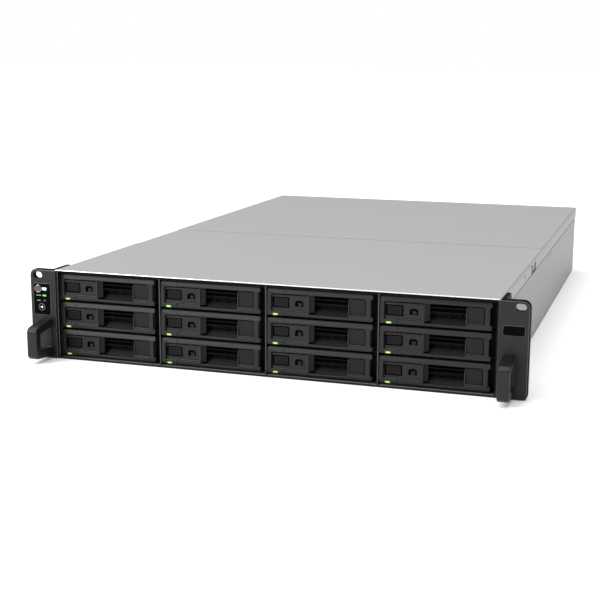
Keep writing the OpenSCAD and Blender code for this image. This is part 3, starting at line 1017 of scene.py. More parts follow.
    def lever(self) -> tuple[Shell, Shell]:
        """The pull lever: a frame round the air inlet with its arms and hinge pin; its sunk pull plate.

        Returns:
            The frame; the pull plate with the inlet's left cheek.
        """
        low, high, top = self.recess_low, self.recess_high, self.height
        left = self.seam + 0.35
        outline = rounded(
            [
                (left, self.foot),
                (self.right, self.foot),
                (self.right, low),
                (self.post, low),
                (self.post, high),
                (self.right, high),
                (self.right, top),
                (left, top),
                (left, high),
                (self.ridge, high),
                (self.ridge, low),
                (left, low),
            ],
            [0.2, 2.2, 0.9, 0.9, 0.9, 0.9, 2.2, 0.2, 0.2, 0.2, 0.2, 0.2],
        )
        window = rounded(
            [
                (41.5, self.sill), (self.pull, self.sill), (self.pull, low), (94.6, low), (94.6, high),
                (41.5, high),
            ],
            [0.9, 0.9, 0.9, 1.6, 1.6, 0.9],
        )
        frame_part = plate(
            [outline, window], 0.0, self.rail, 1.0, steps=3
        ).shaped(self.close_seam).shaped(self.pillow)
        pull = block(
            (self.pull, self.sunk - 0.2, low - 0.8), (93.9, self.rail - 0.9, high - 0.6), 0.5
        ).shaped(self.slope)
        arms = joined([block((95.6, self.rail - 0.6, z), (99.0, 8.7, z + 4), 0.5) for z in (2.0, 20.0)])
        pin = rod((*self.pin, 2.5), 1.0, 21.0, 2, 0.15, 16)
        cheek = plate(
            [rounded([(41.2, 1.1), (45.6, 3.9), (45.6, 4.3), (41.2, 4.3)], 0.2, 2)], low - 0.3, high + 0.2,
            0.1, Plane.FLAT,
        )
        return joined([frame_part, arms, pin]), pull + cheek

    def lock_beads(self) -> Shell:
        """The raised lips along the lock plate's foot and its right end, lighter to paint their highlight.

        Returns:
            Both lips.
        """
        low, high, end = self.recess_low + 0.2, self.recess_high - 1.4, self.plate_right
        foot = block((7.0, 0.9, low), (end, self.sunk + 0.3, low + 0.55), 0.24, 3)
        return foot + block((end - 0.55, 0.9, low), (end, self.sunk + 0.3, high), 0.24, 3)

    def pull_beads(self) -> Shell:
        """The raised lips along the pull plate's foot and its left end, lighter to paint their highlight.

        Returns:
            Both lips.
        """
        low, high = self.recess_low + 0.05, self.recess_high - 0.6
        foot = block((self.pull, 1.2, low), (93.4, self.sunk + 1.4, low + 0.55), 0.24, 3)
        return foot + block((self.pull, 0.9, low), (self.pull + 0.55, self.sunk + 1.4, high - 2), 0.24, 3)

    def backing(self) -> Shell:
        """The web behind the pull plate, dark with painted shade."""
        return block(
            (77.6, self.rail - 0.9, self.recess_low - 1.5), (95.6, self.rail - 0.1, self.recess_high + 1.2),
            0.2,
        )

    def button(self) -> Shell:
        """The release button, in the middle of its opening with a gap all round.

        Returns:
            The button.
        """
        low, high = np.array([7.1, 2.35, 8.8]), np.array([21.0, 8.2, 16.9])
        body = plate([rectangle(low[0], low[2], high[0], high[2], 0.9)], low[1], high[1], 0.35)
        return body

    def build(self) -> None:
        """Makes all twelve trays with their levers and buttons."""
        bezel, wells, tumbler, grille = self.bezel(), self.wells(), self.tumbler(), self.grille()
        carrier, ramp = self.carrier()
        drive, lid, label, button = self.drive(), self.lid(), self.label(), self.button()
        lever, pull = self.lever()
        backing, lock_beads, pull_beads = self.backing(), self.lock_beads(), self.pull_beads()
        lens = block((7.3, -0.15, 1.25), (11.1, 1.6, 2.6), 0.3).shaped(self.pillow)
        rim = plate([rectangle(6.4, 0.85, 12.0, 3.1, 0.9)], -0.04, 1.6).shaped(self.pillow)
        # The near-black wells and web paint shade inside the tray, the lighter beads paint highlights on the
        # plates' edges, and the pull's darker plastic paints shade
        pieces = (
            ("tray", "wells", wells + grille, SHADE_ABS),
            ("tray", "bezel", bezel, TRAY_ABS),
            ("tray", "carrier", carrier, TRAY_ABS),
            ("tray", "ramp", ramp, BUTTON_ABS),
            ("tray", "tumbler", tumbler, LEVER_ABS),
            ("tray", "lens", lens, LED_GREEN),
            ("tray", "lens_rim", rim, LED_RIM),
            ("drive", "casting", drive, CASTING),
            ("drive", "lid", lid, NICKEL),
            ("drive", "label", label, LABEL),
            ("lever", "frame", lever, TRAY_ABS),
            ("lever", "pull", pull, SHADED_PULL_ABS),
            ("lever", "beads", pull_beads, HIGHLIGHT_BEAD_ABS),
            ("tray", "beads", lock_beads, HIGHLIGHT_BEAD_ABS),
            ("lever", "web", backing, SHADE_ABS),
            ("release", "key", button, BUTTON_ABS),
        )
        homes = {
            "tray": ("tray", "tray_plastic"),
            "drive": ("tray", "tray_plastic"),
            "lever": ("lever", "lever_plastic"),
            "release": ("release", "button_plastic"),
        }
        stands_for = {"bezel": "tray", "frame": "lever", "key": "release_button"}
        for k in range(1, BAYS + 1):
            low, _ = node_box(f"lever_{k}")
            bay = (low[0] - self.lever_start, low[1], low[2])
            for family, part, shell, finish in pieces:
                body, slot = homes[family]
                nodes = [f"{stands_for[part]}_{k}"] if part in stands_for else []
                set_piece(f"{family}_{k}_{part}", shell, finish, f"{body}_{k}", nodes, bay)


# ---------------------------------------------------------------- ears


@dataclass
class RackEars:
    """The two ears with their handles, the name plate and the control panel."""

    inner: float = 215.35
    outer: float = 241.0
    height: float = 88.0
    thick: float = 6.4
    face_inner: float = 214.3
    slot: tuple[float, float, float, float] = (232.55, 82.0, 9.6, 6.6)
    handle_x: tuple[float, float] = (218.7, 229.3)
    plate_mid: tuple[float, float] = (227.3, 61.3)
    panel_mid: tuple[float, float] = (-228.2, 58.7)
    proud: float = 0.6
    keys: tuple[tuple[float, float, float, float], ...] = (
        (-232.1, 68.8, 8.4, 8.6), (-228.5, 51.0, 8.4, 9.0)
    )
    key_gap: float = 0.35
    key_depth: float = 4.6

    def key_outline(self, number: int, margin: float) -> np.ndarray:
        """A key's outline, grown by a margin."""
        x, z, w, h = self.keys[number]
        return rectangle(
            x - w / 2 - margin, z - h / 2 - margin, x + w / 2 + margin, z + h / 2 + margin, 2.6 + margin, 6
        )

    def slot_outline(self, side: int) -> np.ndarray:
        """A mounting slot's outline on one side."""
        x, z, w, h = self.slot
        return rectangle(side * x - w / 2, z - h / 2, side * x + w / 2, z + h / 2, h / 2 - 0.05, 8)

    def handle(self) -> Shell:
        """The pull handle: a bar on two arms round the finger gap, its edges broken by 1.1 mm.

        Returns:
            The right ear's handle.
        """
        outer = rounded(
            [(0.6, 39.8), (0.6, 2.6), (-27, 5.2), (-30, 8.0), (-30, 33.0), (-26.5, 36.2)],
            [0.3, 0.3, 2.2, 2.6, 2.6, 3.4], 5,
        )
        gap = rounded([(-1.5, 31.5), (-21, 29.0), (-22, 27), (-22, 14.6), (-21, 12.6), (-1.5, 11.6)], 0.8, 3)
        return plate([outer, gap], *self.handle_x, 1.1, Plane.SIDE, 3)

    def arm(self) -> Shell:
        """The arm along the case's side.

        Returns:
            The right ear's arm.
        """
        outline = rounded([(5.4, 1), (38, 1), (38, 84), (34, 88), (5.4, 88)], [0.3, 4, 3, 3, 0.3])
        holes = [circle(30, z, 2.0, 16) for z in (14.0, 62.0)]
        arm = plate([outline, *holes], self.inner, self.inner + 3.7, 0.6, Plane.SIDE)
        return arm

    def lip(self) -> Shell:
        """The ear's inner lip, in front of the case wall's edge."""
        return block((212.35, 0.6, 0.6), (216.2, 1.7, 86.2), 0.3)

    def screws(self) -> Shell:
        """Two countersunk screws with hexagonal sockets, in the arm."""
        head = [
            (0, -1.4), (1.2, -1.4), (1.2, 0.4), (2.4, 0.45), (2.9, 0.15), (1.6, -0.9), (1.6, -3), (0, -3)
        ]
        return joined([lathe(head, (self.inner + 3.7, 30, z), 0, 18) for z in (14.0, 62.0)])

    def outline(self, side: int, inner: float, margin: float) -> np.ndarray:
        """An ear's outline, drawn in by a margin all round.

        Args:
            side: 1 for the right ear, -1 for the left.
            inner: How far out the ear begins.
            margin: How far the outline is drawn in.

        Returns:
            The outline.
        """
        m = margin
        corners = [
            (inner, m), (self.outer - m, m), (self.outer - m, self.height - m), (inner, self.height - m)
        ]
        return rounded(corners, [0.4, 5.0 - m, 6.5 - m, 0.4], 6) * [side, 1]

    def holes(self, side: int) -> list[np.ndarray]:
        """An ear's slot, and on the left the two keys' holes."""
        keys = [self.key_outline(0, self.key_gap), self.key_outline(1, self.key_gap)]
        return [self.slot_outline(side)] + (keys if side < 0 else [])

    def face(self, side: int) -> Shell:
        """The front layer of an ear, drawn in from the rim."""
        return plate([self.outline(side, self.face_inner, 1.35), *self.holes(side)], 0.0, 1.6, 0.1, steps=1)

    def rim(self, side: int) -> Shell:
        """The round edge about the front layer, in lighter grey: a painted highlight."""
        loops = [self.outline(side, self.face_inner - 0.5, 0.8), self.outline(side, self.face_inner, 1.45)]
        return plate(loops, 0.0, 1.6, 0.3, steps=3)

    def back(self, side: int) -> Shell:
        """The back layer of an ear, with the full outline, near black to paint the shade on its edge."""
        return plate([self.outline(side, self.inner, 0.0), *self.holes(side)], 0.7, self.thick, 0.4, steps=3)

    def glyph(self) -> Shell:
        """The second key's mark: a plain horn, a square with a flared mouth.

        Returns:
            The square and the mouth.
        """
        x, z = self.keys[1][:2]
        mouth = np.array([(-0.2, -0.6), (1.0, -1.5), (1.0, 1.5), (-0.2, 0.6)]) + [x, z]
        return plate([mouth], -0.95, -0.6) + plate(
            [rectangle(x - 1.3, z - 0.6, x - 0.35, z + 0.6, 0.1)], -0.95, -0.6
        )

    def build(self) -> None:
        """Makes both ears and everything on them."""
        low, _ = node_box("power_button")
        ear_y = low[1] + self.proud + 0.3
        origin = (0.0, ear_y, 0.0)
        rear_y = self.thick - 0.4
        cap = block((-237.5, rear_y, 45.0), (-223.0, rear_y + 1.2, 75.0), 0.3)
        shared, arm = self.handle(), self.arm()
        set_piece(
            "ear_right_frame", self.face(1) + shared, EAR_ABS, "root", ["ear_right"], origin
        )
        set_piece(
            "ear_left_frame", self.face(-1) + shared.mirrored(), EAR_ABS, "root", ["ear_left"],
            origin,
        )
        set_piece("ear_right_rim", self.rim(1), HIGHLIGHT_RIM, "root", [], origin)
        set_piece("ear_left_rim", self.rim(-1), HIGHLIGHT_RIM, "root", [], origin)
        # The lip, arm, back layer and the cap in near black: painted shade on the ear's edges and beside the
        # trays
        lip = self.lip() + arm
        set_piece("ear_right_arm", lip + self.back(1), SHADE_ABS, "root", [], origin)
        set_piece(
            "ear_left_arm", joined([lip.mirrored(), self.back(-1), cap]), SHADE_ABS, "root", [],
            origin,
        )
        set_piece("ear_right_screws", self.screws(), NICKEL, "root", [], origin)
        set_piece("ear_left_screws", self.screws().mirrored(), NICKEL, "root", [], origin)
        x, z = self.plate_mid
        name_plate = plate(
            [rectangle(x - 9.4, z - 4.2, x + 9.4, z + 4.2, 1.4, 5)], -self.proud, 0.2, 0.22, steps=3
        )
        x, z = self.panel_mid
        panel = plate(
            [
                rectangle(x - 9.0, z - 15.3, x + 9.0, z + 15.3, 1.9, 5), self.key_outline(0, 0.3),
                self.key_outline(1, 0.3),
            ],
            -self.proud, 0.2, 0.22, steps=3,
        )
        x0, z0 = self.plate_mid
        # The seats' lighter rims paint the highlight on the plates' edges
        seats = plate([rectangle(x0 - 9.8, z0 - 4.6, x0 + 9.8, z0 + 4.65, 1.8, 5)], -0.4, 0.2, 0.35, steps=3)
        seats = seats + plate(
            [
                rectangle(x - 9.4, z - 15.7, x + 9.4, z + 15.7, 2.3, 5), self.key_outline(0, 0.3),
                self.key_outline(1, 0.3),
            ],
            -0.4, 0.2, 0.25, steps=3,
        )
        set_piece("panel_seats", seats, HIGHLIGHT_RIM, "root", [], origin)
        set_piece(
            "panel_gloss", name_plate + panel, GLOSS_BLACK, "root", ["panel_inserts"], origin
        )
        self.build_lamps(origin)
        self.build_keys(origin)

    def build_lamps(self, origin: Sequence[float]) -> None:
        """Makes the panel's lamps and their printed marks.

        Args:
            origin: The middle of the ears' front plane.
        """
        front = -self.proud - 0.08
        lamp = plate([rectangle(-228.1, 67.4, -223.0, 70.3, 0.9)], front, 0.0)
        status = plate([rectangle(-227.4, 61.6, -223.6, 63.1, 0.5)], front, 0.0)
        alert = plate([rectangle(-226.9, 56.4, -223.9, 58.2, 0.5)], front, 0.0)
        marks = joined(
            [
                plate([rectangle(-234.4, 61.9, -229.2, 62.8, 0.3)], front, 0.0),
                plate([rectangle(-233.8, 56.9, -229.6, 57.7, 0.3)], front, 0.0),
            ]
        )
        set_piece("lamp_power", lamp, LED_BLUE, "root", [], origin)
        set_piece("lamp_status", status, LED_STATUS, "root", [], origin)
        set_piece("lamp_alert", alert, LED_OFF, "root", [], origin)
        set_piece("panel_marks", marks, LEGEND, "root", [], origin)

    def build_keys(self, origin: Sequence[float]) -> None:
        """Makes the power key with its ring and cap, and the mute key with its ring and mark.

        Args:
            origin: The middle of the ears' front plane.
        """
        front = -self.proud - 0.3
        names = (("power_button", "power_key"), ("mute_button", "gloss_black"))
        for number, (node, slot) in enumerate(names):
            key = plate([self.key_outline(number, 0.0)], front, front + self.key_depth, 0.5, steps=3)
            set_piece(f"{node}_body", key, GLOSS_BLACK, node, [node], origin)
        x, z = self.keys[0][:2]
        ring = lathe(
            [(2.9, -0.1), (3.3, -0.3), (3.8, -0.1), (3.8, 0.3), (2.9, 0.3), (2.9, -0.1)], (x, front, z), 1,
            32,
        )
        cap = lathe([(0, -0.2), (1.8, -0.15), (2.88, 0.02), (2.88, 0.3), (0, 0.3)], (x, front, z), 1, 32)
        set_piece("power_button_ring", ring, CHROME_RING, "power_button", [], origin)
        set_piece("power_button_cap", cap, POWER_CAP, "power_button", [], origin)
        x, z = self.keys[1][:2]
        ring = lathe(
            [(2.8, -0.04), (3.2, -0.14), (3.7, -0.04), (3.7, 0.3), (2.8, 0.3), (2.8, -0.04)], (x, front, z),
            1, 32,
        )
        set_piece("mute_button_ring", ring, GREY_RING, "mute_button", [], origin)
        set_piece("mute_button_mark", self.glyph(), WHITE_PRINT, "mute_button", [], origin)


# ---------------------------------------------------------------- case


@dataclass
class SheetCase:
    """The base and its three covers, folded from sheet steel."""

    half: float = 215.25
    wall: float = 214.7
    inner: float = 213.7
    upper: float = 214.2
    top: float = 87.8
    sheet: float = 0.95
    flange: float = 74.3
    bend: float = 1.6
    drop: float = 0.5
    wall_top: float = 86.15
    fold: float = 83.2
    latch_window: tuple[float, float] = (-129.5, -92.5)
    screw_x: tuple[float, ...] = (-150.0, -30.0, 90.0)
    rail_screw_y: tuple[float, ...] = (-97.0, 135.0, 220.0)
    rail_screw_z: float = 19.4
    floor_screws: tuple[tuple[float, float], ...] = tuple(
        [(x, y) for x in (-196, -40, 114) for y in (8, 168, 318)]
        + [(x, y) for x in (-160, -53, 53, 160) for y in (-300, -180)]
        + [(x, -114) for x in (-195, -60, 60, 195)]
    )

    def roof(self, y0: float, y1: float, drop: float = 0.0) -> Shell:
        """A cover's sheet over both bends: a channel section carried along the depth.

        Args:
            y0: Where the sheet begins.
            y1: Where it ends.
            drop: How far it lies below the top.

        Returns:
            The folded sheet.
        """
        top, h, t = self.top - drop, self.half, self.sheet
        section = [
            (-h, self.fold), (-h + t, self.fold), (-h + t, top - t), (h - t, top - t),
            (h - t, self.fold), (h, self.fold), (h, top), (-h, top),
        ]
        outline = rounded(
            section, [0.1, 0.1, self.bend - t + 0.1, self.bend - t + 0.1, 0.1, 0.1, self.bend, self.bend], 5
        )
        return plate([outline], y0, y1, 0.12, steps=1)

    def flange_part(self, y0: float, y1: float, low: Optional[float] = None) -> Shell:
        """A stretch of both side flanges below the bends, its lower corners round.

        Args:
            y0: Where the stretch begins.
            y1: Where it ends.
            low: Its lower edge, if not the usual one.

        Returns:
            The stretch on both sides.
        """
        z0 = self.flange if low is None else low
        outline = rounded(
            [(y0, z0), (y1, z0), (y1, self.fold + 0.3), (y0, self.fold + 0.3)], [1.2, 1.2, 0.05, 0.05]
        )
        right = plate([outline], self.half - self.sheet, self.half, 0.1, Plane.SIDE, 1)
        return right + right.mirrored()

    def marks(self, places: Sequence[tuple[float, float, float, float]], x: float) -> Shell:
        """Dark patches for pierced slots on both sides, their darkness painted shade in place of the holes,
        each (front, low, back, high), standing 0.03 mm proud.
        """
        right = joined([plate([rectangle(*p, 0.5)], x - 0.2, x + 0.03, 0.0, Plane.SIDE) for p in places])
        return right + right.mirrored()

    def build(self) -> None:
        """Makes the covers, the base and the latches."""
        self.build_front()
        self.build_hatch()
        self.build_rear()
        self.build_base()

    def build_front(self) -> None:
        """Makes the front cover, with its folded front edge and a slot in each side."""
        low, high = node_box("front_cover")
        lip = block(
            (-self.half + 0.4, low[1], self.top - 0.95), (self.half - 0.4, low[1] + 1.0, self.top), 0.4, 4
        )
        shell = joined([self.roof(low[1] + 0.2, high[1]), self.flange_part(low[1], high[1])])
        # A near-black strip between the cage and the cover: painted shade in the gap
        strip = block((-212.9, low[1] + 4.6, 83.4), (212.9, low[1] + 8.0, 86.4), 0.3)
        set_piece("cage_shadow_strip", strip, SHADE_ABS, "root")
        # The near-white edge strip paints the highlight on the cover's front bend
        set_piece("front_cover_edge", lip, HIGHLIGHT_EDGE, "root")
        set_piece("front_cover_sheet", shell, COVER_PAINT, "root", ["front_cover"])
        # Near-black strips under the flanges' lower edges: a painted shadow line along the seams
        seam = block(
            (self.wall - 0.1, low[1] + 6, self.flange - 1.1), (self.wall + 0.4, 330, self.flange + 0.1), 0.15
        )
        # Near-black strips at the cage's front corners: painted shade beside the outer trays
        cage_low, _ = node_box("drive_cage")
        post = block((212.0, cage_low[1] - 0.6, 1.6), (213.6, cage_low[1] - 0.05, 84.5), 0.15)
        set_piece("cage_post_shadow_strip", post + post.mirrored(), SHADE_ABS, "root")
        set_piece("base_seam_shadow_strip", seam + seam.mirrored(), SHADE_ABS, "root")
        slot = [(-181.2, 79.0, -178.0, 83.8)]
        set_piece("front_cover_slots", self.marks(slot, self.half), SHADE_ABS, "root")

    def build_hatch(self) -> None:
        """Makes the fan hatch with its latches, and the dished pockets behind them."""
        low, high = node_box("fan_hatch")
        y0, y1 = self.latch_window
        shell = joined(
            [
                self.roof(low[1], high[1], self.drop),
                self.flange_part(low[1], y0),
                self.flange_part(y1, high[1]),
            ]
        )
        set_piece("fan_hatch_sheet", shell, COVER_PAINT, "hatch", ["fan_hatch"])
        for side, name in ((1, "right"), (-1, "left")):
            node = f"hatch_latch_{name}"
            a, b = node_box(node)
            x0, x1 = sorted((abs(a[0]), abs(b[0])))
            key = plate([rectangle(a[1], a[2], b[1], 82.3, 1.6)], x0, x1, 0.5, Plane.SIDE)
            ribs = joined(
                [
                    block((x1 - 0.4, y, 75.6), (x1 + 0.02, y + 0.8, 81.2), 0.2)
                    for y in a[1] + np.array([3.4, 6.1, 8.8])
                ]
            )
            part = key + ribs
            part = part if side > 0 else part.mirrored()
            set_piece(f"{node}_key", part, LATCH_ABS, node, [node])
        dish_x = self.inner - 0.9
        outline = rectangle(y0 + 15.2, 74.6, y1 - 0.3, 82.5, 1.8, 5)
        floor = plate([outline], dish_x - 0.8, dish_x, 0.2, Plane.SIDE)
        ring = plate(
            [rectangle(y0 + 14.6, 74.4, y1 - 0.1, 82.9, 2.0, 5), outline], dish_x - 0.2, self.half - 0.95,
            0.15, Plane.SIDE,
        )
        dish = floor + ring
        set_piece("fan_hatch_pockets", dish + dish.mirrored(), LATCH_ABS, "hatch")

    def build_rear(self) -> None:
        """Makes the rear cover with its lip, tabs and captive thumbscrews."""
        low, high = node_box("rear_cover")
        lip_low, tab_low = 84.8, 76.0
        corners = [(-self.half + 0.3, lip_low)]
        radii = [0.3]
        for x in self.screw_x:
            corners += [(x - 8, lip_low), (x - 8, tab_low), (x + 8, tab_low), (x + 8, lip_low)]
            radii += [0.6, 3.0, 3.0, 0.6]
        corners += [
            (self.half - 0.3, lip_low), (self.half - 0.3, self.top - 0.15),
            (-self.half + 0.3, self.top - 0.15),
        ]
        radii += [0.3, 0.5, 0.5]
        lip = plate([rounded(corners, radii)], high[1] - 1.0, high[1], 0.15, steps=1)
        shell = joined([self.roof(low[1], high[1]), self.flange_part(low[1], high[1]), lip])
        set_piece("rear_cover_sheet", shell, COVER_PAINT, "rear_cover", ["rear_cover"])
        profile = [
            (0, 0), (4.8, 0), (4.8, 0.5), (3.8, 0.7), (3.8, 1.2), (4.7, 1.5), (4.7, 4.0), (4.2, 4.5),
            (1.6, 4.5), (1.4, 3.6), (0, 3.6),
        ]
        screws = joined([lathe(profile, (x, high[1], 80.5), 1, 36) for x in self.screw_x])
        screws = screws.shaped(lambda p: self.knurl(p, high[1]))
        set_piece(
            "cover_thumbscrews", screws, NICKEL, "rear_cover", ["cover_screws"], angle=25
        )

    def knurl(self, points: np.ndarray, y: float) -> np.ndarray:
        """Draws every second line of a screw's rim in by a twentieth of its radius.

        Args:
            points: The screws' points.
            y: The cover's rear face.

        Returns:
            The points, with every second line of the rims drawn in.
        """
        centre = np.array(self.screw_x)
        nearest = centre[np.argmin(np.abs(points[:, :1] - centre), axis=1)]
        dx, dz = points[:, 0] - nearest, points[:, 2] - 80.5
        step = np.round(np.arctan2(dz, dx) / (2 * np.pi / 36)).astype(int)
        rim = (np.hypot(dx, dz) > 4.4) & (points[:, 1] > y + 1.3)
        scale = np.where(rim & (step % 2 == 0), 0.94, 1.0)
        points[:, 0] = nearest + dx * scale
        points[:, 2] = 80.5 + dz * scale
        return points

    def build_base(self) -> None:
        """Makes the base: the floor, two pierced walls and the front lip."""
        low, high = node_box("chassis_base")
        y0, y1 = low[1], high[1]
        w, i = self.wall, self.inner
        e = w - 1.7
        bend = rounded(
            [(w, 7.0), (i, 7.0), (i, 1.2), (e, 1.2), (e, 0.0), (w, 0.0)], [0.05, 0.05, 0.1, 0.05, 0.05, 1.6],
            5,
        )
        corner = plate([bend], y0, y1, 0.12, steps=1)
        pan = plate(
            [rectangle(-e, y0, e, y1, 0.1, 1), *[circle(x, y, 3.15, 20) for x, y in self.floor_screws]], 0.0,
            1.2, 0.05, Plane.FLAT, 1,
        )
        floor = joined([pan, corner, corner.mirrored()])
        head = [(0, 1.15), (3.0, 1.15), (3.0, 0.25), (2.8, 0.05), (1.3, 0.05), (1.3, 0.85), (0, 0.85)]
        heads = joined([lathe(head, (x, y, 0), 2, 20) for x, y in self.floor_screws])
        set_piece("base_floor_screws", heads, NICKEL, "root")
        lower = rounded([(y0, 6.8), (y1, 6.8), (y1, self.flange - 0.5), (y0, self.flange - 0.5)], 0.1, 1)
        holes = [circle(y, self.rail_screw_z, 2.0, 20) for y in self.rail_screw_y]
        side = plate([lower, *holes], i, w, 0.08, Plane.SIDE, 1)
        n0, n1 = self.latch_window[0] - 1, self.latch_window[0] + 15
        z0, z1 = self.flange - 0.7, self.wall_top
        upper = joined(
            [
                plate([rectangle(a, z0, b, z1, 0.3)], i, self.upper, 0.08, Plane.SIDE, 1)
                for a, b in ((y0, n0), (n1, y1))
            ]
        )
        side = side + upper
        # The lip is near black: painted shade at the foot of the trays
        lip = block((-i, y0, 0.05), (i, y0 + 1.0, 2.1), 0.3)
        set_piece("base_lip", lip, SHADE_LIP_STEEL, "root")
        set_piece(
            "base_pan", joined([floor, side, side.mirrored()]), BASE_PAINT, "root",
            ["chassis_base"],
        )
        slots = [(33.2, 66.0, 34.8, 70.7), (53.2, 66.0, 54.8, 70.7)]
        set_piece("base_slots", self.marks(slots, w), SHADE_ABS, "root")
        rims = joined(
            [
                lathe(
                    [(2.02, -0.4), (2.05, 0.12), (2.9, 0.05), (2.9, -0.4), (2.02, -0.4)],
                    (w, y, self.rail_screw_z), 0, 24,
                )
                for y in self.rail_screw_y
            ]
        )
        # Near-black discs in the rail screw holes: painted shade inside the holes
        threads = joined(
            [rod((w - 0.3, y, self.rail_screw_z), 1.95, 0.31, 0, 0.05, 20) for y in self.rail_screw_y]
        )
        set_piece("base_rail_threads", threads + threads.mirrored(), SHADE_ABS, "root")
        set_piece("base_rail_bushes", rims + rims.mirrored(), NICKEL, "root")


# ---------------------------------------------------------------- rear


def hexes(
    x0: float, z0: float, x1: float, z1: float, across: float = 3.0, pitch: float = 3.9
) -> list[np.ndarray]:
    """Hexagonal holes in staggered rows that fill a rectangle.

    Args:
        x0: Left side.
        z0: Lower side.
        x1: Right side.
        z1: Upper side.
        across: A hole's width between its flats.
        pitch: Distance between two holes' middles.

    Returns:
        The holes' outlines.
    """
    rows = int((z1 - z0 - across) / (pitch * 0.87)) + 1
    made = []
    for row in range(rows):
        shift = (row % 2) * pitch / 2
        count = int((x1 - x0 - across - shift) / pitch) + 1
        z = z0 + across / 2 + row * pitch * 0.87
        made += [
            circle(x0 + across / 2 + shift + c * pitch, z, across / 1.8, 6, np.pi / 6) for c in range(count)
        ]
    return made


